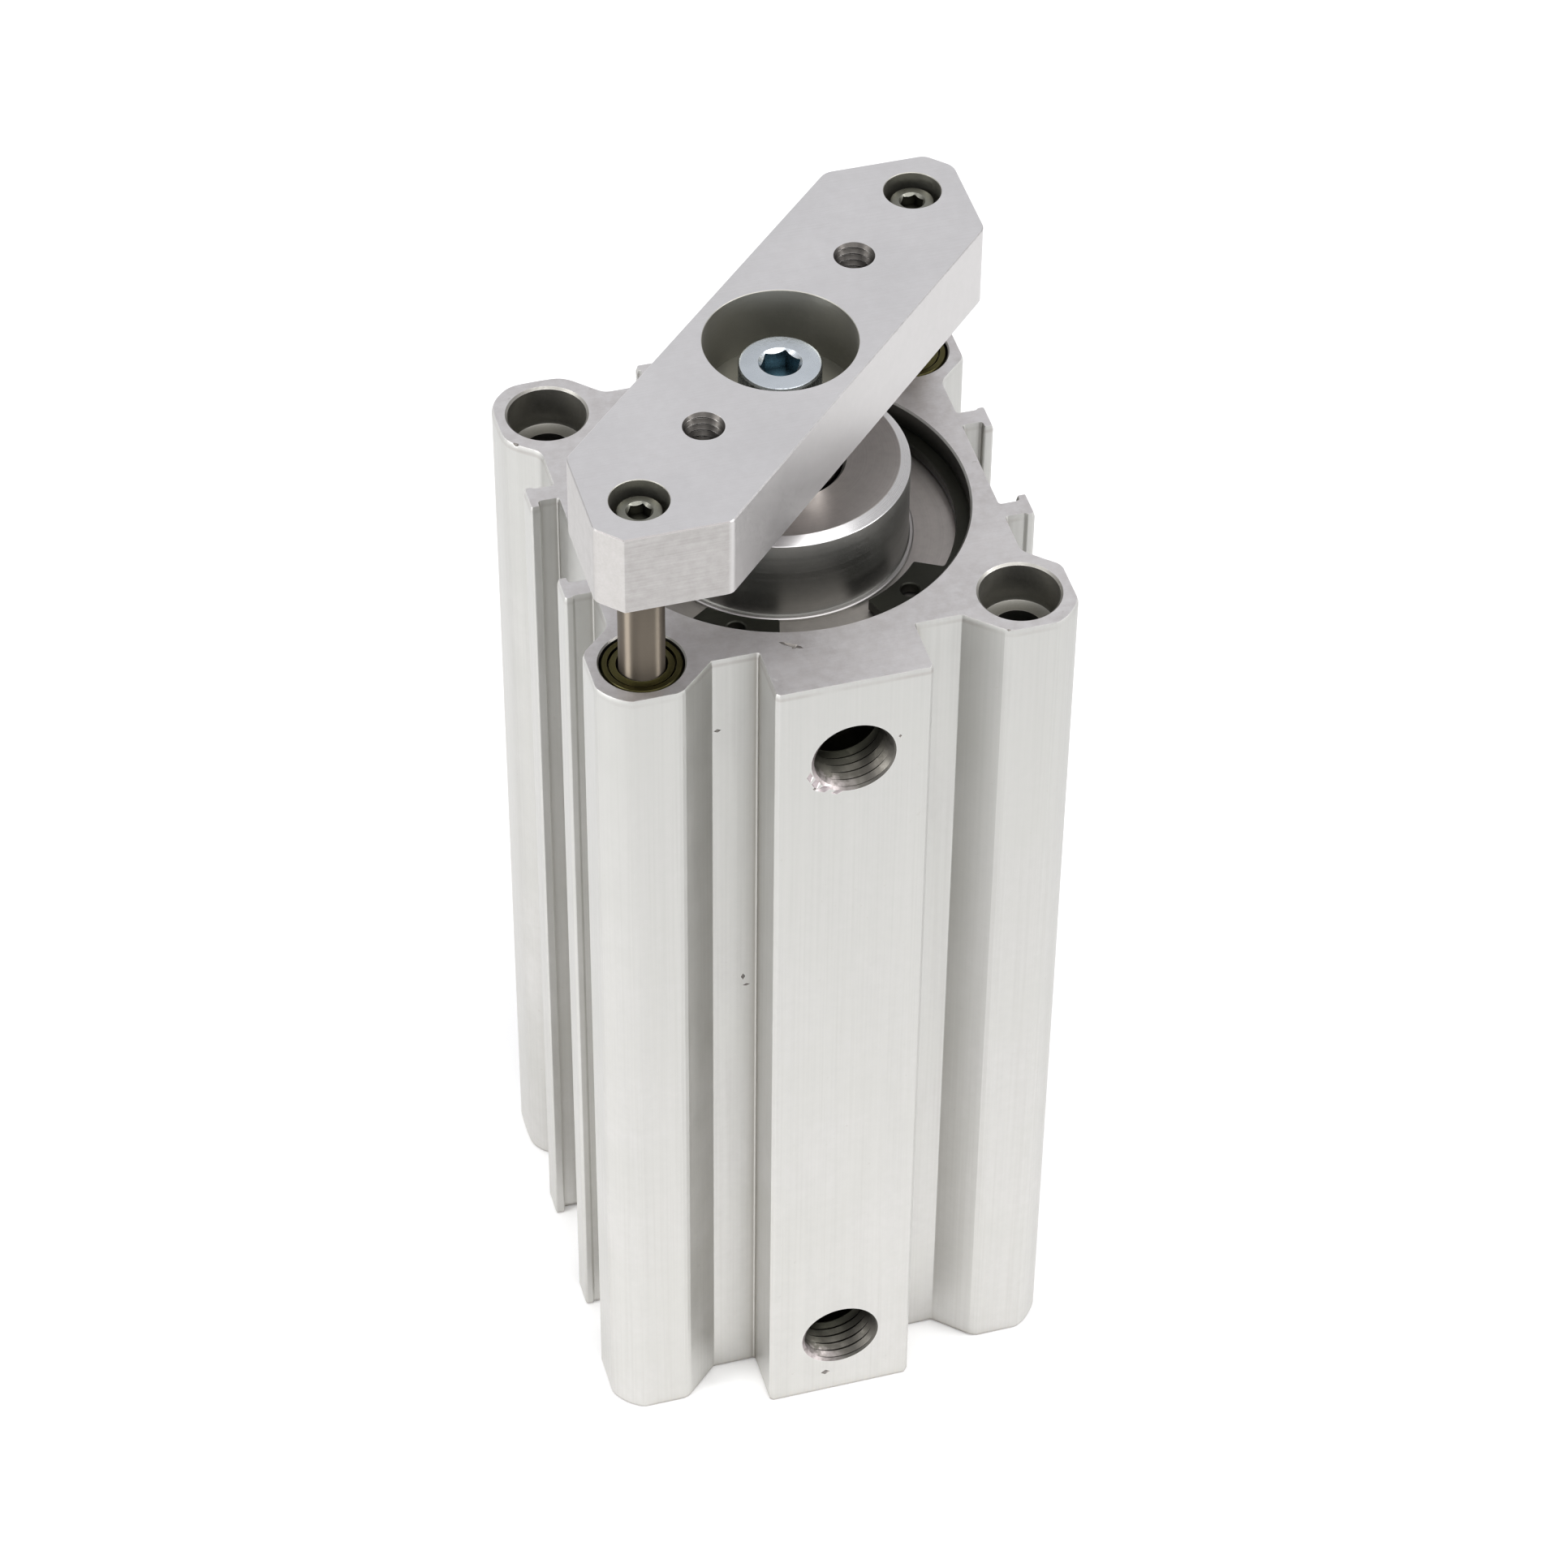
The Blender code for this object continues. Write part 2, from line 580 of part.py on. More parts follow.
def build_plate(parts, tools):
    top = PLATE_BOTTOM + PLATE_THICKNESS
    plate = prism("end_plate", plate_outline(), PLATE_BOTTOM, top, parts, "machined_plate")
    bevel = plate.modifiers.new("Edge break", "BEVEL")
    bevel.width = PLATE_EDGE_CHAMFER * MM
    bevel.segments = 1
    bevel.limit_method = "ANGLE"
    cutters = [turned("cut_plate_well", [
        (0.0, top + THROUGH_CUT), (PLATE_WELL_RADIUS, top + THROUGH_CUT),
        (PLATE_WELL_RADIUS, PLATE_WELL_FLOOR), (BOLT_HOLE_RADIUS, PLATE_WELL_FLOOR),
        (BOLT_HOLE_RADIUS, PLATE_BOTTOM - THROUGH_CUT), (0.0, PLATE_BOTTOM - THROUGH_CUT),
    ], FINE_STEPS, tools)]
    well_radius, well_floor = GUIDE_SCREW_WELL
    spigot_radius, spigot_roof = GUIDE_SPIGOT
    for name, corner in GUIDE_CORNERS.items():
        cutters.append(turned(f"cut_plate_guide_{name}", [
            (0.0, top + THROUGH_CUT), (well_radius, top + THROUGH_CUT),
            (well_radius, well_floor), (GUIDE_SCREW_HOLE_RADIUS, well_floor),
            (GUIDE_SCREW_HOLE_RADIUS, spigot_roof), (spigot_radius, spigot_roof),
            (spigot_radius, PLATE_BOTTOM - THROUGH_CUT), (0.0, PLATE_BOTTOM - THROUGH_CUT),
        ], HOLE_STEPS, tools, corner=corner))
        tapped = turned(f"cut_plate_tapped_{name}", [
            (0.0, top + THROUGH_CUT), (TAPPED_HOLE_RADIUS, top + THROUGH_CUT),
            (TAPPED_HOLE_RADIUS, PLATE_BOTTOM - THROUGH_CUT), (0.0, PLATE_BOTTOM - THROUGH_CUT),
        ], HOLE_STEPS, tools)
        tapped.location = (corner[0] * TAPPED_HOLE_OFFSET * MM,
                           corner[1] * TAPPED_HOLE_OFFSET * MM, 0.0)
        cutters.append(tapped)
    return cut(plate, cutters)


def build_screw(name, sizes, parts, tools, corner=(0, 0)):
    """A socket-head screw with a hexagon recess."""
    head, height, shank, underside, tip, hexagon, depth = sizes
    top = underside + height
    screw = turned(name, [
        (0.0, top), (head - 0.3, top), (head, top - 0.3), (head, underside),
        (shank, underside), (shank, tip + 0.4), (shank - 0.4, tip), (0.0, tip),
    ], HOLE_STEPS, parts, "bolt_steel", corner)
    socket = prism(f"cut_{name}", arc(hexagon, 0.0, 300.0, 5), top - depth,
                   top + THROUGH_CUT, tools, corner=corner)
    return cut(screw, [socket])


def build_guide_rods(parts, tools):
    """Each guide rod with the screw that holds it to the end plate."""
    hole, hole_bottom = GUIDE_THREAD
    items = []
    for name, corner in GUIDE_CORNERS.items():
        items.append(turned(f"guide_rod_{name}", [
            (0.0, hole_bottom), (hole, hole_bottom), (hole, GUIDE_ROD_TOP),
            (GUIDE_ROD_RADIUS - 0.3, GUIDE_ROD_TOP), (GUIDE_ROD_RADIUS, GUIDE_ROD_TOP - 0.3),
            (GUIDE_ROD_RADIUS, GUIDE_ROD_BOTTOM + 0.8),
            (GUIDE_ROD_RADIUS - 0.8, GUIDE_ROD_BOTTOM), (0.0, GUIDE_ROD_BOTTOM),
        ], HOLE_STEPS, parts, "chrome_rod", corner))
        items.append(build_screw(f"guide_screw_{name}", GUIDE_SCREW, parts, tools, corner))
    return items


def build():
    clear_scene()
    parts = make_collection(OBJECT_NAME)
    tools = make_collection("cutters")
    build_tube(parts, tools)
    build_rod_cover(parts)
    build_head_cover(parts)
    build_rod_bearing(parts)
    build_guides(parts)
    near, far = RING_RANGE
    build_retaining_ring("rod_side_retaining_ring", BODY_HEIGHT - far, BODY_HEIGHT - near,
                         parts, tools)
    build_retaining_ring("head_side_retaining_ring", near, far, parts, tools)

    moving = [build_piston(parts)]
    moving += build_piston_rings(parts)
    moving += build_piston_rod(parts)
    moving.append(build_piston_nut(parts, tools))
    moving.append(build_plate(parts, tools))
    moving.append(build_screw("plate_bolt", PLATE_BOLT, parts, tools))
    moving += build_guide_rods(parts, tools)

    axis = bpy.data.objects.new("slide_axis", None)
    parts.objects.link(axis)
    for item in moving:
        item.parent = axis


build()
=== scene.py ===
"""Finer pieces, materials, light and camera for the guide-rod cylinder.

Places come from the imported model's boxes. Section sizes are in millimetres and the helpers
turn them into metres.
"""

import math

import bmesh
import bpy
from mathutils import Matrix, Vector


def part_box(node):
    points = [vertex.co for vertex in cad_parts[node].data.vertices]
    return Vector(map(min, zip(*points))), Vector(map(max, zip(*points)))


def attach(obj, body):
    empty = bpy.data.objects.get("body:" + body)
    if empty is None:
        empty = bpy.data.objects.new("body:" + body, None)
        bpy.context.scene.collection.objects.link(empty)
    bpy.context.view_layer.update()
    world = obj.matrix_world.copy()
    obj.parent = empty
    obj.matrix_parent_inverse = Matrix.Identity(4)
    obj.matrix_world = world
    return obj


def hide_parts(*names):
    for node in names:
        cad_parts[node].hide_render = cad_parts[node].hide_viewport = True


MM = 0.001

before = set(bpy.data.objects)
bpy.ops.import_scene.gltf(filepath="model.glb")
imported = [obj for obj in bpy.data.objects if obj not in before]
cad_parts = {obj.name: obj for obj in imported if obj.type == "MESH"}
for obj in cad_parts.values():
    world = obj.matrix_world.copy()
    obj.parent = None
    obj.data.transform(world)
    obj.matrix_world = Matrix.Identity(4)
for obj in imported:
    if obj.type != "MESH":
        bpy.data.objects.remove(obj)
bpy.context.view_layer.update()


def corners(node):
    """Lowest and highest corner of a CAD node, in millimetres."""
    low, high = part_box(node)
    return low / MM, high / MM


def axis_of(node):
    """Where a node's upright axis stands, in millimetres."""
    low, high = corners(node)
    return (low.x + high.x) / 2.0, (low.y + high.y) / 2.0


tube_low, tube_high = corners("cylinder_tube")
HEIGHT = tube_high.z
HALF = tube_high.x
PORT_FACE = -tube_low.y
CORNER = axis_of("guide_rod_back_right")[0]

# Cross-section of the tube.
LOBE_RADIUS = 7.65
SIDE_FLOOR, SIDE_FOOT = 27.7, 17.5
FACE_FLOOR, FACE_FOOT = 27.4, 16.5
RAIL_INNER, RAIL_UNDERCUT, RAIL_OUTER, RAIL_BEAK = 7.0, 8.0, 10.9, 11.2
RAIL_NECK, RAIL_TIP = 30.2, 31.6
BLOCK_HALF, BLOCK_CHAMFER = 10.4, 0.5
RIM_CHAMFER, RIM_DROP = 0.2, 0.7
CORNER_FILLET, FOOT_FILLET = 0.3, 2.2

# Holes in the tube. The ring groove is two depths from the end and a radius. A thread is
# its core radius, root radius and pitch.
BORE = 25.0
RING_GROOVE = (3.1, 5.2, 26.2)
COUNTERBORE, COUNTERBORE_DEPTH, THROUGH = 5.3, 6.3, 3.3
BUSH_SEAT = 5.5
GUIDE_BORE = 3.8
PORTS = (127.2, 11.8)
PORT_THREAD = (5.1, 5.6, 1.337)
PORT_MOUTH, PORT_FLOOR, PASSAGE = 5.65, 26.4, 2.2

# Small marks on the tube: place, half sizes and turn about Z in degrees.
SCUFFS = [
    ((-5.0, -PORT_FACE, 123.9), (0.6, 0.3, 1.1), 0.0),
    ((-3.9, -PORT_FACE, 122.7), (1.2, 0.3, 0.6), 0.0),
    ((-5.8, -PORT_FACE, 125.2), (0.45, 0.25, 0.9), 0.0),
    ((-2.2, -PORT_FACE, 121.7), (0.8, 0.25, 0.4), 0.0),
]
NICKS = [
    ((-2.1, -PORT_FACE, 4.1), (0.7, 0.4, 0.5), 0.0),
    ((-30.9, 19.6, HEIGHT), (0.9, 0.7, 0.6), 30.0),
    ((21.2, -31.8, HEIGHT), (0.6, 0.4, 0.5), 10.0),
    ((-6.0, -27.0, HEIGHT), (1.7, 0.3, 0.3), -35.0),
    ((-5.6, -27.4, HEIGHT), (0.55, 0.3, 0.3), 30.0),
    ((-15.8, -FACE_FLOOR, 128.3), (0.5, 0.3, 0.3), 0.0),
    ((-12.3, -FACE_FLOOR, 81.6), (0.3, 0.3, 0.6), 0.0),
    ((-11.8, -FACE_FLOOR, 79.9), (0.5, 0.3, 0.25), 0.0),
    ((-5.2, -PORT_FACE, 123.0), (0.25, 0.25, 0.25), 0.0),
    ((6.1, -PORT_FACE, 129.6), (0.25, 0.2, 0.3), 0.0),
]

# Covers. The O-ring groove is two depths below the flange's face and a radius. The bush hole
# is a radius and its top, and the seal groove its bottom, top and radius.
BOSS, BOSS_TOP, BOSS_FOOT, PLUG = 17.05, 15.6, 17.7, 22.6
FLANGE_DEPTH, O_RING_GROOVE = 4.6, (1.2, 3.6, 23.0)
ROD_HOLE, ROD_BUSH_HOLE, SEAL_GROOVE = 8.3, (9.6, 141.0), (141.8, 146.6, 11.6)
TURNED_LINE, CENTRE_DRILL = 11.8, (1.3, 1.1)

# Retaining rings: angles in degrees, then radii.
RING_MIDDLE, RING_HALF_GAP, RING_LUG, RING_HOLE = -87.2, 18.2, 29.0, 33.2
RING_OUTER, RING_INNER, RING_LUG_INNER = 25.9, 23.2, 19.2
RING_EYE, RING_EYE_CENTRE, RING_CHAMFER = 1.25, 21.6, 0.12

# Bushes, wipers and rods. The spigot and threads are a radius and where they end.
GUIDE_SIDES = ("front_left", "back_right")
BUSH_HOLE, WIPER_HOLE, WIPER_OUTER = 3.15, 3.2, 5.3
ROD_SPIGOT, ROD_THREAD, GUIDE_THREAD = (6.0, 22.3), (3.25, 139.0), (1.7, 146.0)

# End plate.
PLATE_HALF, PLATE_NOSE, PLATE_CHAMFER = 11.9, 42.8, 0.15
FAR_CORNERS, NEAR_CORNERS, SHARP_CORNER = 2.3, 1.6, 0.4
WELL_RADIUS, WELL_FLOOR, BOLT_HOLE = 10.0, 158.0, 3.4
SCREW_WELL, SCREW_WELL_FLOOR, SCREW_HOLE, SPIGOT_HOLE = 3.8, 162.4, 1.75, 3.3
TAPPED, TAPPED_START = (2.5, 2.92, 1.0), 1.72
TAPPED_OFFSET = 13.8

# Screws: head height, half width and depth of the hexagon, shank radius.
PLATE_BOLT = (5.9, 2.7, 3.0, 2.9)
GUIDE_SCREW = (3.4, 1.6, 1.8, 1.45)
BOLT_HEAD = 5.4

# How far cutters reach past a face, and segments round a circle.
PAST = 1.0
FINE, HOLE = 160, 72

# Studio, in metres and watts: place, width, height and power of each light.
LIGHTS = {
    "overhead": ((0.1, -0.75, 1.6), 1.7, 1.7, 17.0),
    "left": ((-1.4, -0.35, 0.45), 0.6, 1.2, 21.0),
    "right": ((1.3, -0.75, 0.7), 0.45, 1.2, 11.0),
}
LIGHT_TARGET = (0.0, 0.0, 0.09)
FLOOR_HALF, FLOOR_DROP = 3000.0, 0.2
CAMERA_PLACE = (-0.13824, -0.48012, 0.57995)
CAMERA_BACK, CAMERA_LEVEL = (-0.19874, -0.68479, 0.70111), (0.96037, -0.27872, 0.0)
CAMERA_ROLL, CAMERA_LENS, CAMERA_SENSOR = 0.6195, 116.92, 36.0


# Mesh code.

def mesh_of(name, points, faces):
    """A mesh with its faces turned outwards."""
    mesh = bpy.data.meshes.new(name)
    mesh.from_pydata([Vector(p) * MM for p in points], [], faces)
    shape = bmesh.new()
    shape.from_mesh(mesh)
    bmesh.ops.recalc_face_normals(shape, faces=shape.faces)
    shape.to_mesh(mesh)
    shape.free()
    return mesh


def put(name, mesh, centre=(0.0, 0.0), material=None):
    item = bpy.data.objects.new(name, mesh)
    item.location = (centre[0] * MM, centre[1] * MM, 0.0)
    bpy.context.scene.collection.objects.link(item)
    if material:
        mesh.materials.append(material)
    return item


def turned(name, profile, steps, centre=(0.0, 0.0), material=None):
    """Spin (radius, height) points about an upright axis, closed unless the ends touch it."""
    points, rows = [], []
    for radius, height in profile:
        start = len(points)
        if radius == 0.0:
            points.append((0.0, 0.0, height))
            rows.append([start] * steps)
            continue
        for i in range(steps):
            angle = math.tau * i / steps
            points.append((radius * math.cos(angle), radius * math.sin(angle), height))
        rows.append(list(range(start, start + steps)))
    pairs = list(zip(rows, rows[1:]))
    if profile[0][0] > 0.0:
        pairs.append((rows[-1], rows[0]))
    faces = []
    for one, two in pairs:
        for i in range(steps):
            j = (i + 1) % steps
            loop = [one[i], one[j], two[j], two[i]]
            face = [v for k, v in enumerate(loop) if v != loop[k - 1]]
            if len(face) > 2:
                faces.append(face)
    return put(name, mesh_of(name, points, faces), centre, material)


def threaded(name, core, root, pitch, low, high, centre=(0.0, 0.0), material=None):
    """A rod with a helical V thread, used to cut a tapped hole."""
    rows = 2 * math.ceil((high - low) / pitch) + 2
    points = []
    for i in range(HOLE):
        angle = math.tau * i / HOLE
        for j in range(rows + 1):
            radius = root if j % 2 else core
            height = low + pitch * (i / HOLE + j / 2.0)
            points.append((radius * math.cos(angle), radius * math.sin(angle), height))

    def at(i, j):
        return i * (rows + 1) + j

    faces = []
    for i in range(HOLE - 1):
        for j in range(rows):
            faces.append([at(i, j), at(i + 1, j), at(i + 1, j + 1), at(i, j + 1)])
    last = HOLE - 1
    for j in range(rows - 2):
        faces.append([at(last, j), at(0, j + 2), at(0, j + 3), at(last, j + 1)])
    foot = [at(i, 0) for i in range(HOLE)] + [at(0, 2), at(0, 1)]
    head = [at(i, rows) for i in range(HOLE)] + [at(last, rows - 1), at(last, rows - 2)]
    for loop, height in ((foot, low - pitch), (head, high + 3.0 * pitch)):
        points.append((0.0, 0.0, height))
        hub = len(points) - 1
        faces += [[loop[k - 1], loop[k], hub] for k in range(len(loop))]
    return put(name, mesh_of(name, points, faces), centre, material)


def polar(radius, degrees):
    angle = math.radians(degrees)
    return radius * math.cos(angle), radius * math.sin(angle)


def arc(radius, start, end, segments):
    return [polar(radius, start + (end - start) * i / segments) for i in range(segments + 1)]


def rounded(points, radius, sharpest=20.0, steps=4):
    """Fillet every corner of a closed outline that turns by more than sharpest degrees.

    A point with a third number is filleted to that radius instead.
    """
    made = []
    count = len(points)
    for i, (x, y, *own) in enumerate(points):
        here = Vector((x, y))
        before = Vector(points[i - 1][:2]) - here
        after = Vector(points[(i + 1) % count][:2]) - here
        turn = math.pi - before.angle(after)
        if turn < math.radians(sharpest):
            made.append((x, y))
            continue
        reach = (own[0] if own else radius) * math.tan(turn / 2.0)
        reach = min(reach, 0.45 * before.length, 0.45 * after.length)
        start = here + before.normalized() * reach
        end = here + after.normalized() * reach
        for k in range(steps + 1):
            t = k / steps
            made.append(tuple(start * (1 - t) ** 2 + here * 2 * t * (1 - t) + end * t * t))
    return made


def inset(points, distance):
    """Move an anticlockwise outline inwards by the same distance all round."""
    made = []
    count = len(points)
    for i, point in enumerate(points):
        back = (Vector(point) - Vector(points[i - 1])).normalized()
        ahead = (Vector(points[(i + 1) % count]) - Vector(point)).normalized()
        one, two = Vector((-back.y, back.x)), Vector((-ahead.y, ahead.x))
        made.append(tuple(Vector(point) + (one + two) * distance / (1.0 + one.dot(two))))
    return made


def extruded(name, outline, low, high, chamfer, centre=(0.0, 0.0), material=None, drop=None):
    """Raise an anticlockwise outline between two heights, with both rims chamfered.

    drop is how far the chamfers run along the sides, if not as far as they go in.
    """
    small = inset(outline, chamfer) if chamfer else outline
    drop = drop or chamfer
    levels = [(small, low), (outline, low + drop), (outline, high - drop), (small, high)]
    if not chamfer:
        levels = [levels[0], levels[3]]
    count = len(outline)
    points = [(x, y, z) for ring, z in levels for x, y in ring]
    faces = [list(range(count)), list(range(len(points) - count, len(points)))]
    for level in range(len(levels) - 1):
        for i in range(count):
            j = (i + 1) % count
            base = level * count
            faces.append([base + i, base + j, base + count + j, base + count + i])
    return put(name, mesh_of(name, points, faces), centre, material)


def carve(item, cutters):
    """Take the cutters away for good; their materials line the cuts."""
    for cutter in cutters:
        modifier = item.modifiers.new("Cut", "BOOLEAN")
        modifier.operation = "DIFFERENCE"
        modifier.solver = "EXACT"
        modifier.material_mode = "TRANSFER"
        modifier.object = cutter
    bpy.context.view_layer.update()
    graph = bpy.context.evaluated_depsgraph_get()
    carved = bpy.data.meshes.new_from_object(item.evaluated_get(graph))
    item.modifiers.clear()
    item.data = carved
    for cutter in cutters:
        bpy.data.objects.remove(cutter)
    return item


def show(item, body, node):
    """Shade a finished piece, and let it stand for its CAD node."""
    item.data.shade_smooth()
    item.data.set_sharp_from_angle(angle=math.radians(28.0))
    weighted = item.modifiers.new("Flat faces stay flat", "WEIGHTED_NORMAL")
    weighted.keep_sharp = True
    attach(item, body)
    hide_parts(node)
    return item


# Materials.

class Nodes:
    """Builds the node tree of one material."""

    def __init__(self, name):
        self.material = bpy.data.materials.new(name)
        self.material.use_nodes = True
        self.tree = self.material.node_tree
        self.shader = self.tree.nodes["Principled BSDF"]
        self.spot = self.add("ShaderNodeTexCoord", {}, "Object")

    def add(self, kind, inputs, output=0, **settings):
        node = self.tree.nodes.new(kind)
        for key, value in settings.items():
            setattr(node, key, value)
        for key, value in inputs.items():
            if isinstance(value, bpy.types.NodeSocket):
                self.tree.links.new(value, node.inputs[key])
            else:
                node.inputs[key].default_value = value
        return node.outputs[output]

    def math(self, operation, one, two=0.0):
        return self.add("ShaderNodeMath", {0: one, 1: two}, operation=operation)

    def noise(self, vector, size, detail=3.0, roughness=0.55):
        """Noise whose patches are about size millimetres across."""
        return self.add("ShaderNodeTexNoise", {
            "Vector": vector, "Scale": 1.0 / (size * MM), "Detail": detail,
            "Roughness": roughness})

    def ramp(self, value, low, high, start=0.0, end=1.0):
        return self.add("ShaderNodeMapRange", {
            "Value": value, "From Min": low, "From Max": high, "To Min": start, "To Max": end})

    def mix(self, share, one, two):
        """Blend two colours, each a socket or a red, green and blue."""
        one, two = ((*c, 1.0) if isinstance(c, tuple) else c for c in (one, two))
        return self.add("ShaderNodeMix", {0: share, 6: one, 7: two}, 2, data_type="RGBA")

    def parts(self, vector):
        """X, Y and Z of a vector."""
        split = self.tree.nodes.new("ShaderNodeSeparateXYZ")
        self.tree.links.new(vector, split.inputs[0])
        return split.outputs

    def normal(self):
        return self.add("ShaderNodeNewGeometry", {}, "Normal")

    def size(self, value):
        return self.math("ABSOLUTE", value)

    def times(self, one, two):
        return self.math("MULTIPLY", one, two)

    def plus(self, one, two):
        return self.math("ADD", one, two)

    def stretched(self, scale, turn=0.0):
        """Object coordinates, turned about Z and scaled, for streaks and lines."""
        return self.add("ShaderNodeMapping", {
            "Vector": self.spot, "Rotation": (0.0, 0.0, math.radians(turn)), "Scale": scale})

    def lathe(self):
        """Coordinates that stay the same round the axis, for turning marks."""
        x, y, z = self.parts(self.spot)
        squares = self.plus(self.times(x, x), self.times(y, y))
        return self.add("ShaderNodeCombineXYZ", {0: self.math("SQRT", squares), 2: z})

    def edge_wear(self, radius):
        """One along the convex and concave edges, nothing on the open faces."""
        soft = self.add("ShaderNodeBevel", {"Radius": radius * MM}, samples=4)
        same = self.add("ShaderNodeVectorMath", {0: soft, 1: self.normal()}, "Value",
                        operation="DOT_PRODUCT")
        patchy = self.ramp(self.noise(self.spot, 2.5), 0.35, 0.6, 0.35, 1.0)
        return self.times(self.ramp(same, 0.995, 0.86), patchy)

    def painted_recess_shade(self, reach):
        """Mask for painted shade: nought in the open and one deep in a recess."""
        seen = self.add("ShaderNodeAmbientOcclusion", {"Distance": reach * MM}, "AO", samples=8)
        return self.ramp(seen, 0.85, 0.25)

    def finish(self, colour, roughness, height, depth, metallic=1.0, **fixed):
        shader = self.shader
        self.tree.links.new(colour, shader.inputs["Base Color"])
        self.tree.links.new(roughness, shader.inputs["Roughness"])
        shader.inputs["Metallic"].default_value = metallic
        for key, value in fixed.items():
            shader.inputs[key.replace("_", " ")].default_value = value
        bump = self.add("ShaderNodeBump", {
            "Height": height, "Strength": 1.0, "Distance": depth * MM})
        self.tree.links.new(bump, shader.inputs["Normal"])
        return self.material


def shade(colour, factor):
    return tuple(part * factor for part in colour)


def metal(name, colour, roughness, lines, line_size=0.25, depth=0.004, blotch=0.05,
          edge=None, edge_radius=0.35, recess=None, metallic=1.0, rough_swing=0.12, **fixed):
    """A worked metal: fine lines, soft blotches, brighter edges and painted shade in its recesses.

    lines is turned, milled or blasted.
    """
    n = Nodes(name)
    if lines == "turned":
        way = n.lathe()
    elif lines == "milled":
        way = n.stretched((0.03, 1.0, 1.0), 45.0)
    else:
        way = n.spot
    fine = n.noise(way, line_size, 2.0)
    broad = n.noise(n.spot, 14.0, 4.0)
    grit = n.noise(n.spot, 0.35, 2.0)
    tint = n.mix(n.ramp(broad, 0.3, 0.7), shade(colour, 1.0 - blotch), shade(colour, 1.0 + blotch))
    tint = n.mix(n.ramp(fine, 0.35, 0.7, 0.0, 0.35), tint, shade(colour, 0.9))
    rough = n.plus(n.ramp(fine, 0.3, 0.7, -rough_swing / 2, rough_swing / 2),
                   n.ramp(broad, 0.3, 0.7, roughness - 0.04, roughness + 0.04))
    # Painted shade: deep in a recess the colour darkens towards the given recess colour.
    if recess:
        tint = n.mix(n.painted_recess_shade(recess[0]), tint, recess[1])
    if edge:
        worn = n.edge_wear(edge_radius)
        tint = n.mix(n.times(worn, 0.75), tint, edge)
        rough = n.math("SUBTRACT", rough, n.times(worn, 0.1))
    height = n.plus(fine, n.times(grit, 0.35))
    return n.finish(tint, rough, height, depth, metallic, **fixed)


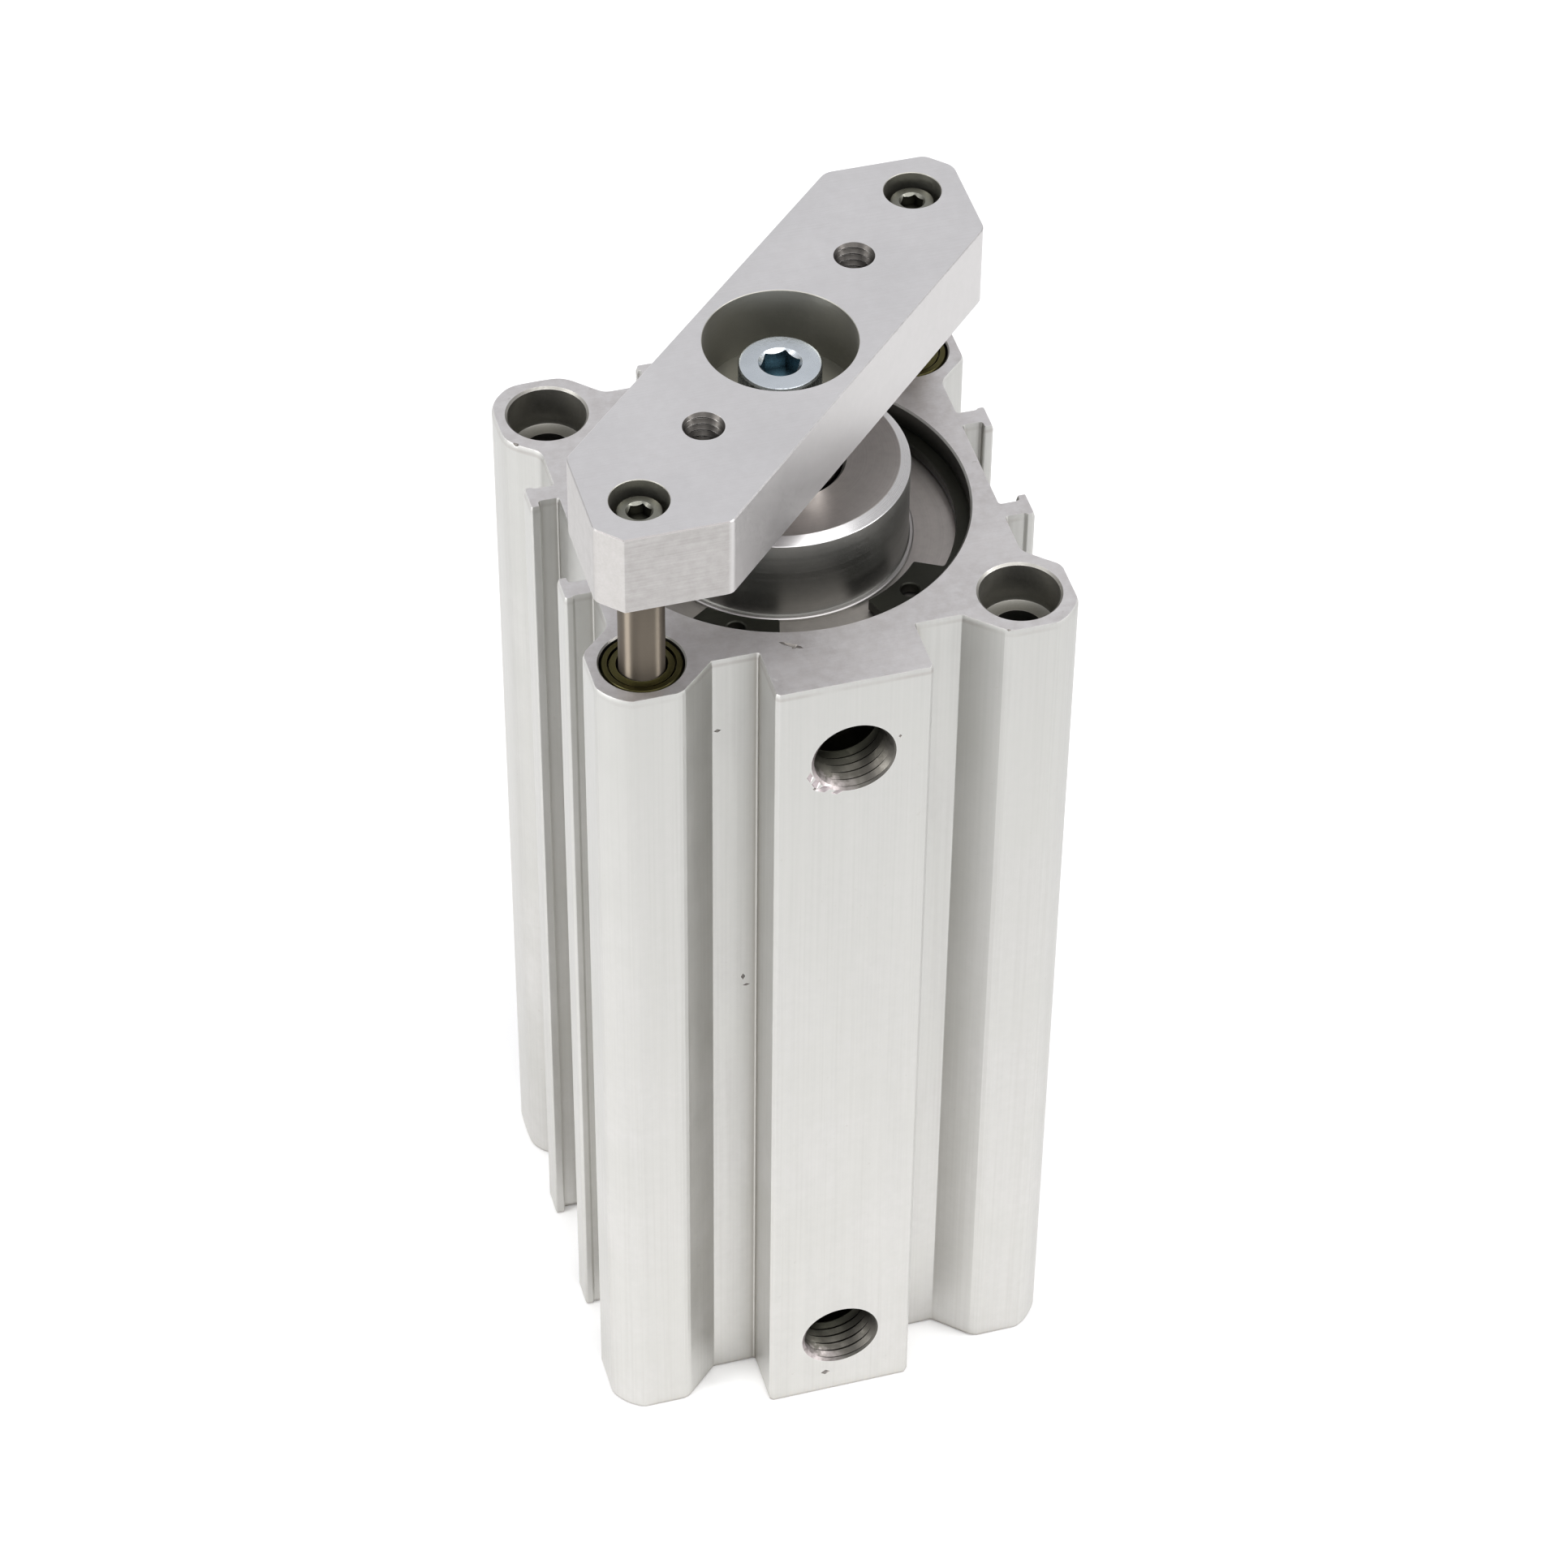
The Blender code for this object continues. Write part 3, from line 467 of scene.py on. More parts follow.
def body_metal():
    """Anodised extrusion: die lines down the sides, fine milling across the cut ends."""
    n = Nodes("anodised_tube")
    _, facing, upturned = (n.size(part) for part in n.parts(n.normal()))
    sideways, _, height = n.parts(n.spot)
    cut_end = n.ramp(upturned, 0.8, 0.95)
    die_fine = n.noise(n.stretched((1.0, 1.0, 0.008)), 0.35, 3.0)
    die_wide = n.noise(n.stretched((1.0, 1.0, 0.03)), 2.4, 2.0)
    mill = n.noise(n.stretched((0.05, 1.0, 1.0), 12.0), 0.3, 2.0)
    broad = n.noise(n.spot, 12.0, 4.0)
    mottle = n.noise(n.spot, 1.6, 3.0, 0.65)
    grit = n.noise(n.spot, 0.4, 3.0, 0.7)
    speck = n.ramp(n.noise(n.spot, 1.1, 2.0), 0.72, 0.78)
    side = n.mix(n.ramp(broad, 0.3, 0.7), (0.525, 0.52, 0.495), (0.57, 0.56, 0.545))
    side = n.mix(n.ramp(mottle, 0.35, 0.65, 0.0, 0.4), side, (0.50, 0.495, 0.475))
    side = n.mix(n.ramp(die_wide, 0.35, 0.7, 0.0, 0.25), side, (0.60, 0.59, 0.565))
    side = n.mix(n.ramp(die_fine, 0.5, 0.75, 0.0, 0.15), side, (0.46, 0.445, 0.415))
    # Painted shade: the sides darken towards the top.
    side = n.mix(n.ramp(height, HEIGHT * MM * 0.2, HEIGHT * MM, 0.0, 0.7), side,
                 (0.42, 0.42, 0.405))
    # Painted shade in the channels: occlusion darkens the side faces, less on faces turned front
    # or back and on the outer rails.
    inner = n.ramp(n.size(sideways), 26.0 * MM, 27.4 * MM, 1.0, 0.15)
    painted_channel_shade = n.times(n.painted_recess_shade(3.0), n.times(n.ramp(facing, 0.5, 0.9, 1.0, 0.4), inner))
    side = n.mix(painted_channel_shade, side, (0.30, 0.27, 0.225))
    # Painted shade: a darker line in tight creases, such as the feet of the channels.
    side = n.mix(n.times(n.painted_recess_shade(1.2), 0.85), side, (0.22, 0.20, 0.165))
    # A patchy darker line just under the rim chamfer.
    off_rim = n.size(n.math("SUBTRACT", height, (HEIGHT - RIM_DROP - 0.1) * MM))
    line_under_rim = n.times(n.ramp(off_rim, 0.4 * MM, 0.1 * MM), n.ramp(broad, 0.4, 0.6))
    side = n.mix(n.times(line_under_rim, 0.5), side, (0.34, 0.315, 0.30))
    end = n.mix(n.ramp(broad, 0.3, 0.7), (0.62, 0.595, 0.59), (0.72, 0.70, 0.70))
    end = n.mix(n.ramp(mottle, 0.35, 0.65, 0.0, 0.8), end, (0.76, 0.745, 0.75))
    end = n.mix(n.ramp(mill, 0.4, 0.75, 0.0, 0.12), end, (0.52, 0.49, 0.485))
    tint = n.mix(cut_end, side, end)
    # Painted shade: the rim chamfers, which face half upwards, are darkened.
    rim = n.times(n.ramp(upturned, 0.45, 0.6), n.ramp(upturned, 0.92, 0.8))
    tint = n.mix(rim, tint, (0.33, 0.31, 0.305))
    tint = n.mix(n.times(speck, 0.35), tint, (0.42, 0.40, 0.37))
    worn = n.edge_wear(0.4)
    tint = n.mix(n.times(worn, 0.25), tint, (0.90, 0.88, 0.87))
    rough = n.plus(n.ramp(die_fine, 0.3, 0.7, -0.05, 0.05),
                   n.ramp(broad, 0.3, 0.7, 0.40, 0.48))
    flat = n.math("SUBTRACT", 1.0, cut_end)
    lines = n.plus(n.times(die_fine, 0.2), n.times(die_wide, 0.5))
    relief = n.plus(n.times(lines, flat), n.times(mill, cut_end))
    relief = n.plus(relief, n.times(mottle, 0.8))
    relief = n.plus(relief, n.times(grit, 0.6))
    return n.finish(tint, rough, relief, 0.006)


def plate_metal():
    """Milled aluminium bar: a bright lapped top and duller sawn sides, with painted shade that
    varies with the way each side faces.
    """
    n = Nodes("milled_plate")
    normal = n.normal()
    x, y, z = n.parts(normal)
    upward = n.ramp(n.size(z), 0.6, 0.9)
    passes = n.noise(n.stretched((0.03, 1.0, 1.0), 45.0), 0.25, 2.0)
    broad = n.noise(n.spot, 14.0, 4.0)
    mottle = n.noise(n.spot, 1.5, 4.0, 0.7)
    top = n.mix(n.ramp(broad, 0.3, 0.7), (0.755, 0.745, 0.755), (0.79, 0.78, 0.79))
    # Painted shade: the sides are tinted by the way they face, the noses darker than the long
    # sides and the rounded corners between them darker still.
    length = n.size(n.add("ShaderNodeVectorMath", {
        0: normal, 1: (0.707, -0.707, 0.0)}, "Value", operation="DOT_PRODUCT"))
    side = n.mix(n.ramp(length, 0.4, 0.65), (0.42, 0.405, 0.39), (0.32, 0.307, 0.297))
    side = n.mix(n.ramp(length, 0.75, 0.95), side, (0.51, 0.50, 0.495))
    side = n.mix(n.ramp(broad, 0.35, 0.65, 0.0, 0.15), side, (0.44, 0.43, 0.42))
    tint = n.mix(upward, side, top)
    tint = n.mix(n.ramp(mottle, 0.35, 0.65, 0.0, 0.18), tint, (0.60, 0.58, 0.58))
    tint = n.mix(n.ramp(passes, 0.4, 0.75, 0.0, 0.2), tint, (0.64, 0.625, 0.62))
    worn = n.edge_wear(0.3)
    tint = n.mix(n.times(worn, 0.3), tint, (0.90, 0.89, 0.885))
    # Painted shade: the chamfers that face the front, and not to the right, are darkened.
    frontward = n.times(n.ramp(y, -0.3, -0.45), n.ramp(x, 0.3, 0.1))
    rim = n.times(n.ramp(z, 0.45, 0.6), frontward)
    tint = n.mix(rim, tint, (0.30, 0.285, 0.28))
    rough = n.plus(n.ramp(passes, 0.3, 0.7, -0.05, 0.05),
                   n.ramp(broad, 0.3, 0.7, 0.36, 0.42))
    height = n.plus(passes, n.times(mottle, 0.8))
    return n.finish(tint, rough, height, 0.005)


def cover_metal():
    """Dark anodised cover: painted shade darkens its sides, so its flat ends stand lighter."""
    n = Nodes("dark_anodised_cover")
    ends_lit_sides_shaded = n.ramp(n.size(n.parts(n.normal())[2]), 0.6, 0.9)
    rings = n.noise(n.lathe(), 0.2, 2.0)
    broad = n.noise(n.spot, 9.0, 4.0)
    mottle = n.noise(n.spot, 1.3, 3.0, 0.65)
    # Painted shade: the sides take the darker colour and the flat ends the lighter one.
    tint = n.mix(ends_lit_sides_shaded, (0.25, 0.25, 0.235), (0.46, 0.43, 0.415))
    tint = n.mix(n.ramp(broad, 0.3, 0.7, 0.0, 0.25), tint, (0.32, 0.31, 0.28))
    tint = n.mix(n.ramp(mottle, 0.4, 0.7, 0.0, 0.15), tint, (0.20, 0.19, 0.18))
    tint = n.mix(n.ramp(rings, 0.4, 0.7, 0.0, 0.15), tint, (0.24, 0.23, 0.22))
    rough = n.plus(n.ramp(rings, 0.3, 0.7, -0.05, 0.05),
                   n.ramp(broad, 0.3, 0.7, 0.36, 0.44))
    height = n.plus(rings, n.times(mottle, 0.6))
    return n.finish(tint, rough, height, 0.004)


def port_metal():
    """Tapped port: bare bright threads at the mouth with a painted highlight on their left side,
    darkened further in by oil and by painted shade.
    """
    n = Nodes("tapped_port")
    x, y, _ = n.parts(n.spot)
    patches = n.noise(n.spot, 1.2, 3.0, 0.65)
    inward = n.plus(y, n.ramp(patches, 0.3, 0.7, -0.8 * MM, 0.8 * MM))
    # Oil and painted shade: the threads darken with depth into the port.
    near = n.ramp(inward, (0.2 - PORT_FACE) * MM, (2.6 - PORT_FACE) * MM)
    deep = n.ramp(inward, (2.0 - PORT_FACE) * MM, (6.5 - PORT_FACE) * MM)
    # Bare metal at the mouth, with painted light: bright on the left, dark on the right.
    bare = n.mix(n.ramp(x, -5.0 * MM, 1.0 * MM), (0.46, 0.41, 0.41), (0.10, 0.095, 0.085))
    tint = n.mix(near, bare, (0.085, 0.08, 0.07))
    tint = n.mix(deep, tint, (0.04, 0.04, 0.03))
    tint = n.mix(n.ramp(patches, 0.45, 0.7, 0.0, 0.4), tint, (0.085, 0.08, 0.07))
    rough = n.ramp(patches, 0.3, 0.7, 0.32, 0.48)
    return n.finish(tint, rough, patches, 0.01)


def soft_plastic(name, colour, roughness, size=0.5, depth=0.01, blotch=0.15, **fixed):
    """Moulded rubber or plastic: a matt skin with a fine uneven surface."""
    n = Nodes(name)
    broad = n.noise(n.spot, 5.0, 3.0)
    grain = n.noise(n.spot, size, 3.0)
    tint = n.mix(broad, shade(colour, 1.0 - blotch), shade(colour, 1.0 + blotch))
    rough = n.ramp(grain, 0.3, 0.7, roughness - 0.08, roughness + 0.08)
    return n.finish(tint, rough, grain, depth, 0.0, **fixed)


TUBE = body_metal()
# Painted shade: the bore darkens to near black deep in its recesses.
BORE_WALL = metal("honed_bore", (0.42, 0.41, 0.39), 0.35, "turned", 0.2,
                  recess=(10.0, (0.05, 0.05, 0.045)))
# Painted shade: the drilled holes darken deep in their recesses.
HOLE_WALL = metal("drilled_hole", (0.40, 0.39, 0.36), 0.42, "turned", 0.3,
                  recess=(9.0, (0.20, 0.195, 0.175)), edge=(0.70, 0.68, 0.67), edge_radius=0.2)
PORT_WALL = port_metal()
SCUFF = metal("scuffed_rim", (0.46, 0.41, 0.415), 0.42, "blasted", 0.4, depth=0.02, blotch=0.2)
GRIME = metal("grimy_nick", (0.24, 0.225, 0.21), 0.5, "blasted", 0.3, depth=0.01, blotch=0.3)
# Painted shade: the tapped holes are dark throughout and darker still deep in; only the thread
# crests are lighter.
SHADED_TAPPED_WALL = metal("shaded_tapped_hole", (0.10, 0.093, 0.087), 0.38, "blasted", 0.5,
                    recess=(4.0, (0.03, 0.028, 0.025)), edge=(0.5, 0.48, 0.46),
                    edge_radius=0.08)
PLATE = plate_metal()
# Painted shade: the plate's wells darken deep in their recesses.
WELL = metal("plate_well", (0.42, 0.41, 0.37), 0.45, "turned", 0.2,
             recess=(8.0, (0.27, 0.265, 0.235)))
COVER = cover_metal()
TURNED_EDGE = metal("turned_edge", (0.62, 0.61, 0.61), 0.3, "turned", 0.15, depth=0.003,
                    blotch=0.08)
TURNED_FOOT = metal("turned_foot", (0.42, 0.405, 0.40), 0.38, "turned", 0.15, depth=0.003)
RING = metal("black_spring_steel", (0.018, 0.018, 0.013), 0.42, "milled", 0.4, depth=0.006,
             blotch=0.3, edge=(0.06, 0.06, 0.05), edge_radius=0.15, metallic=0.7)
BUSH = metal("sintered_bush", (0.22, 0.20, 0.12), 0.45, "turned", 0.15, depth=0.006,
             blotch=0.2, edge=(0.42, 0.39, 0.27), edge_radius=0.2)
# Painted shade: the wiper darkens in its groove and other recesses.
WIPER = metal("oiled_wiper", (0.078, 0.070, 0.026), 0.38, "turned", 0.15, depth=0.006,
              blotch=0.25, recess=(0.8, (0.014, 0.012, 0.005)), edge=(0.20, 0.18, 0.09),
              edge_radius=0.12)
CHROME = metal("hard_chrome", (0.62, 0.60, 0.58), 0.14, "turned", 0.12, depth=0.0008,
               blotch=0.03, rough_swing=0.06)
GROUND = metal("ground_guide_rod", (0.18, 0.155, 0.125), 0.5, "turned", 0.12, depth=0.0008,
               blotch=0.06, rough_swing=0.06, Anisotropic=1.0, Anisotropic_Rotation=0.25)
ZINC = metal("zinc_plated_bolt", (0.66, 0.71, 0.76), 0.26, "blasted", 0.7, depth=0.03,
             blotch=0.2, edge=(0.92, 0.95, 0.97), edge_radius=0.25)
# Painted shade: the bolt's hexagon socket is dark throughout and darker still deep in.
SHADED_ZINC_SOCKET = metal("shaded_zinc_socket", (0.17, 0.25, 0.29), 0.3, "blasted", 0.4, depth=0.008,
                    blotch=0.3, recess=(2.0, (0.03, 0.05, 0.06)))
SCREW = metal("oiled_screw", (0.23, 0.23, 0.20), 0.34, "blasted", 0.4, depth=0.015,
              blotch=0.2, edge=(0.45, 0.45, 0.41), edge_radius=0.15)
# Painted shade: the screw sockets are dark throughout and darker still deep in.
SHADED_SCREW_SOCKET = metal("shaded_screw_socket", (0.12, 0.12, 0.10), 0.35, "blasted", 0.3, depth=0.008,
                     blotch=0.3, recess=(1.2, (0.015, 0.015, 0.012)))
INNER_ALLOY = metal("machined_alloy", (0.66, 0.655, 0.64), 0.36, "turned", 0.25)
MAGNET = metal("bonded_magnet", (0.09, 0.09, 0.095), 0.6, "blasted", 0.4, depth=0.02,
               blotch=0.2, metallic=0.2)
RUBBER = soft_plastic("seal_rubber_skin", (0.018, 0.018, 0.019), 0.55)
BUMPER = soft_plastic("bumper_urethane", (0.15, 0.085, 0.03), 0.5)
WEAR = soft_plastic("wear_ring_resin", (0.30, 0.21, 0.11), 0.5, 0.3)


# The tube.

def quarter(points):
    return [(-y, x, *own) for x, y, *own in points]


def lobe(foot_side, foot_face, crisp=True):
    """Corner lobe of the +X +Y quadrant: a circle cut flat on its two outer sides.

    A crisp lobe meets its feet at a slight corner instead of running into them.
    """
    outline = [foot_side]
    for i in range(41):
        angle = math.radians(-45.0 + 4.5 * i)
        if crisp and abs(i - 20) > 17:
            continue
        across = [math.cos(angle), math.sin(angle)]
        reach = [LOBE_RADIUS] + [(HALF - CORNER) / c for c in across if c > 0.5]
        radius = min(reach) if crisp else sum(r ** -30.0 for r in reach) ** (-1.0 / 30.0)
        outline.append((CORNER + radius * across[0], CORNER + radius * across[1]))
    return outline + [foot_face]


def rails(floor):
    """The two undercut rails of a +X face."""
    upper = [
        (floor, RAIL_UNDERCUT), (RAIL_NECK, RAIL_UNDERCUT), (RAIL_NECK, RAIL_INNER),
        (RAIL_TIP - 0.2, RAIL_INNER), (RAIL_TIP, RAIL_INNER + 0.2),
        (RAIL_TIP, RAIL_OUTER), (RAIL_TIP - 0.3, RAIL_BEAK),
        (RAIL_NECK + 0.3, RAIL_BEAK), (RAIL_NECK, RAIL_OUTER), (floor, RAIL_OUTER),
    ]
    return [(x, -y) for x, y in reversed(upper)] + upper


def tube_outline():
    c = BLOCK_CHAMFER
    block = [
        (FACE_FLOOR, -BLOCK_HALF), (PORT_FACE - c, -BLOCK_HALF), (PORT_FACE, c - BLOCK_HALF),
        (PORT_FACE, BLOCK_HALF - c), (PORT_FACE - c, BLOCK_HALF), (FACE_FLOOR, BLOCK_HALF),
    ]
    soft, sharp = (FOOT_FILLET,), ()
    outline = rails(SIDE_FLOOR)
    outline += lobe((SIDE_FLOOR, SIDE_FOOT, *soft), (FACE_FOOT, FACE_FLOOR, *soft))
    outline += quarter(
        rails(FACE_FLOOR)
        + lobe((FACE_FLOOR, FACE_FOOT, *soft), (SIDE_FOOT, SIDE_FLOOR, *soft), False))
    outline += quarter(quarter(
        rails(SIDE_FLOOR)
        + lobe((SIDE_FLOOR, SIDE_FOOT, *soft), (FACE_FOOT, FACE_FLOOR, *sharp))))
    outline += quarter(quarter(quarter(
        block + lobe((FACE_FLOOR, FACE_FOOT, *sharp), (SIDE_FOOT, SIDE_FLOOR, *soft)))))
    return rounded(outline, CORNER_FILLET, 7.0)


def bore_cutter():
    near, far, groove = RING_GROOVE
    top, c = HEIGHT, 0.25
    return turned("cut", [
        (0.0, top + PAST), (BORE + c, top + PAST), (BORE + c, top), (BORE, top - c),
        (BORE, top - near), (groove, top - near), (groove, top - far), (BORE, top - far),
        (BORE, far), (groove, far), (groove, near), (BORE, near),
        (BORE, c), (BORE + c, 0.0), (BORE + c, -PAST), (0.0, -PAST),
    ], FINE, material=BORE_WALL)


def mounting_cutter(centre):
    top, c, deep = HEIGHT, 0.3, COUNTERBORE_DEPTH
    wide = COUNTERBORE + c
    return turned("cut", [
        (0.0, top + PAST), (wide, top + PAST), (wide, top), (COUNTERBORE, top - c),
        (COUNTERBORE, top - deep + 1.0), (COUNTERBORE - 0.3, top - deep + 0.3),
        (COUNTERBORE - 1.0, top - deep), (THROUGH, top - deep), (THROUGH, deep),
        (COUNTERBORE - 1.0, deep), (COUNTERBORE - 0.3, deep - 0.3),
        (COUNTERBORE, deep - 1.0), (COUNTERBORE, c),
        (wide, 0.0), (wide, -PAST), (0.0, -PAST),
    ], HOLE, centre, HOLE_WALL)


def guide_cutter(centre):
    top, c = HEIGHT, 0.2
    seat = corners("guide_bush_back_right")[0].z - 0.3
    wide = BUSH_SEAT + c
    return turned("cut", [
        (0.0, top + PAST), (wide, top + PAST), (wide, top), (BUSH_SEAT, top - c),
        (BUSH_SEAT, seat), (GUIDE_BORE, seat), (GUIDE_BORE, c), (GUIDE_BORE + c, 0.0),
        (GUIDE_BORE + c, -PAST), (0.0, -PAST),
    ], HOLE, centre, HOLE_WALL)


def port_cutters(height):
    """Thread, countersunk mouth and air passage, made upright and laid along -Y."""
    core, root, pitch = PORT_THREAD
    flare = PORT_MOUTH - core
    face = PORT_FACE
    tools = [
        threaded("cut", core, root, pitch, PORT_FLOOR + 1.6, face + PAST, material=PORT_WALL),
        turned("cut", [
            (0.0, face + PAST), (PORT_MOUTH + PAST, face + PAST), (core - 0.1, face - flare - 0.1),
            (core - 0.1, PORT_FLOOR), (PASSAGE, PORT_FLOOR), (PASSAGE, BORE - PAST),
            (0.0, BORE - PAST),
        ], HOLE, material=PORT_WALL),
    ]
    for tool in tools:
        tool.data.transform(Matrix.Translation((0.0, 0.0, height * MM))
                            @ Matrix.Rotation(math.pi / 2.0, 4, "X"))
    return tools


def dent(place, size, turn, material):
    """A small diamond-shaped tool for a nick or a scratch."""
    tool = turned("cut", [(0.0, 1.0), (1.0, 0.0), (0.0, -1.0)], 8, material=material)
    scale = Matrix.Diagonal((*size, 1.0))
    tool.data.transform(Matrix.Translation(Vector(place) * MM)
                        @ Matrix.Rotation(math.radians(turn), 4, "Z") @ scale)
    return tool


def build_tube():
    tube = extruded("tube_finished", tube_outline(), 0.0, HEIGHT, RIM_CHAMFER,
                    material=TUBE, drop=RIM_DROP)
    cutters = [bore_cutter()]
    cutters += [mounting_cutter(centre) for centre in ((-CORNER, CORNER), (CORNER, -CORNER))]
    cutters += [guide_cutter(centre) for centre in ((-CORNER, -CORNER), (CORNER, CORNER))]
    for height in PORTS:
        cutters += port_cutters(height)
    cutters += [dent(*mark, SCUFF) for mark in SCUFFS]
    cutters += [dent(*mark, GRIME) for mark in NICKS]
    show(carve(tube, cutters), "cylinder", "cylinder_tube")


# Covers, rings and bushes.

def bare(cover, low, high, material):
    """An outside band that was turned after the cover was anodised."""
    cover.data.materials.append(material)
    for face in cover.data.polygons:
        outside = face.normal.to_2d().dot(face.center.to_2d()) > 0.0
        if outside and low < face.center.z / MM < high:
            face.material_index = len(cover.data.materials) - 1


def build_rod_cover():
    low, high = corners("rod_cover")
    face = HEIGHT - RING_GROOVE[1]
    flange, top = high.x, high.z
    under = face - FLANGE_DEPTH
    near, far, groove = O_RING_GROOVE
    bush, bush_top = ROD_BUSH_HOLE
    seal_low, seal_high, seal = SEAL_GROOVE
    cover = turned("rod_cover_finished", [
        (BOSS_TOP, top), (BOSS_TOP + 0.14, top - 0.03), (BOSS - 0.1, top - 0.7),
        (BOSS, top - 0.82), (BOSS, face + 0.72), (BOSS + 0.15, face + 0.52),
        (BOSS_FOOT - 0.15, face + 0.5), (BOSS_FOOT, face + 0.38), (BOSS_FOOT, face),
        (flange - 0.2, face), (flange, face - 0.2), (flange, face - near),
        (groove, face - near), (groove, face - far), (flange, face - far),
        (flange, under), (PLUG, under), (PLUG, low.z), (bush, low.z), (bush, bush_top),
        (ROD_HOLE, bush_top), (ROD_HOLE, seal_low), (seal, seal_low), (seal, seal_high),
        (ROD_HOLE, seal_high), (ROD_HOLE, top - 0.6), (ROD_HOLE + 0.4, top - 0.1),
        (ROD_HOLE + 0.5, top),
    ], FINE, material=COVER)
    bare(cover, top - 0.79, top - 0.02, TURNED_EDGE)
    bare(cover, face + 0.38, face + 0.6, TURNED_FOOT)
    show(cover, "cylinder", "rod_cover")


def build_head_cover():
    high = corners("head_cover")[1]
    face, flange, top = RING_GROOVE[1], high.x, high.z
    under = face + FLANGE_DEPTH
    near, far, groove = O_RING_GROOVE
    line, drill = TURNED_LINE, CENTRE_DRILL
    head = turned("head_cover_finished", [
        (0.0, top), (PLUG - 0.4, top), (PLUG, top - 0.4), (PLUG, under), (flange, under),
        (flange, face + far), (groove, face + far), (groove, face + near),
        (flange, face + near), (flange, face), (BOSS, face), (BOSS, 0.4), (BOSS - 0.4, 0.0),
        (line + 0.4, 0.0), (line + 0.2, 0.2), (line - 0.2, 0.2), (line - 0.4, 0.0),
        (drill[0], 0.0), (0.0, drill[1]),
    ], FINE, material=COVER)
    show(head, "cylinder", "head_cover")


def ring_outline():
    start = RING_MIDDLE + RING_HALF_GAP
    end = RING_MIDDLE + 360.0 - RING_HALF_GAP
    outline = arc(RING_OUTER, start, end, 140)
    outline += arc(RING_LUG_INNER, end, end - RING_LUG, 16)
    outline += arc(RING_INNER, end - RING_LUG - 2.0, start + RING_LUG + 2.0, 110)
    outline += arc(RING_LUG_INNER, start + RING_LUG, start, 16)
    return rounded(outline, 0.6, 25.0)


def build_rings():
    for node in ("rod_side_retaining_ring", "head_side_retaining_ring"):
        low, high = corners(node)
        low, high = low.z, high.z
        ring = extruded(f"{node}_finished", ring_outline(), low, high, RING_CHAMFER,
                        material=RING)
        eye, wide = RING_EYE, RING_EYE + 0.15
        holes = []
        for side in (-1.0, 1.0):
            centre = polar(RING_EYE_CENTRE, RING_MIDDLE + side * RING_HOLE)
            holes.append(turned("cut", [
                (0.0, high + PAST), (wide, high + PAST), (wide, high), (eye, high - 0.15),
                (eye, low + 0.15), (wide, low), (wide, low - PAST), (0.0, low - PAST),
            ], 36, centre, RING))
        show(carve(ring, holes), "cylinder", node)


def build_bush(node):
    low, high = corners(node)
    outer, top = (high.x - low.x) / 2.0, high.z
    bush = turned(f"{node}_finished", [
        (outer - 0.3, top), (outer, top - 0.3), (outer, low.z), (BUSH_HOLE, low.z),
        (BUSH_HOLE, top - 0.35), (BUSH_HOLE + 0.35, top),
    ], HOLE, axis_of(node), BUSH)
    show(bush, "cylinder", node)


def build_wiper(node):
    """Two lips with a groove between them."""
    low, high = corners(node)
    hole, outer, top = WIPER_HOLE, WIPER_OUTER, high.z
    wiper = turned(f"{node}_finished", [
        (outer, top - 0.25), (outer, low.z), (hole, low.z), (hole, top - 0.15),
        (hole + 0.15, top - 0.02), (hole + 0.45, top - 0.15), (hole + 0.95, top - 0.2),
        (hole + 1.0, top - 0.7), (outer - 0.9, top - 0.7), (outer - 0.85, top),
        (outer - 0.2, top),
    ], HOLE, axis_of(node), WIPER)
    show(wiper, "cylinder", node)


# Everything that slides.

def build_piston_rod():
    low, high = corners("piston_rod")
    top, bottom, radius = high.z, low.z, high.x
    spigot, shoulder = ROD_SPIGOT
    thread, thread_end = ROD_THREAD
    rod = turned("piston_rod_finished", [
        (0.0, thread_end), (thread, thread_end), (thread, top - 0.3), (thread + 0.3, top),
        (radius - 0.6, top), (radius - 0.1, top - 0.5), (radius, top - 0.75),
        (radius, shoulder), (spigot, shoulder), (spigot, bottom + 0.5), (spigot - 0.5, bottom),
        (0.0, bottom),
    ], FINE, material=CHROME)
    show(rod, "slide_unit", "piston_rod")


def plate_outline():
    corner = corners("end_plate")[1].x * math.sqrt(2.0)
    ends = [(PLATE_NOSE, corner - PLATE_NOSE), (corner - PLATE_HALF, PLATE_HALF)]
    half = [(a, -c) for a, c in reversed(ends)] + ends
    root = math.sqrt(0.5)
    outline = [((a - c) * root, (a + c) * root, FAR_CORNERS) for a, c in half]
    outline += [(-x, -y, NEAR_CORNERS) for x, y, _ in outline]
    outline[6] = (*outline[6][:2], SHARP_CORNER)
    return rounded(outline, 0.5, 15.0)


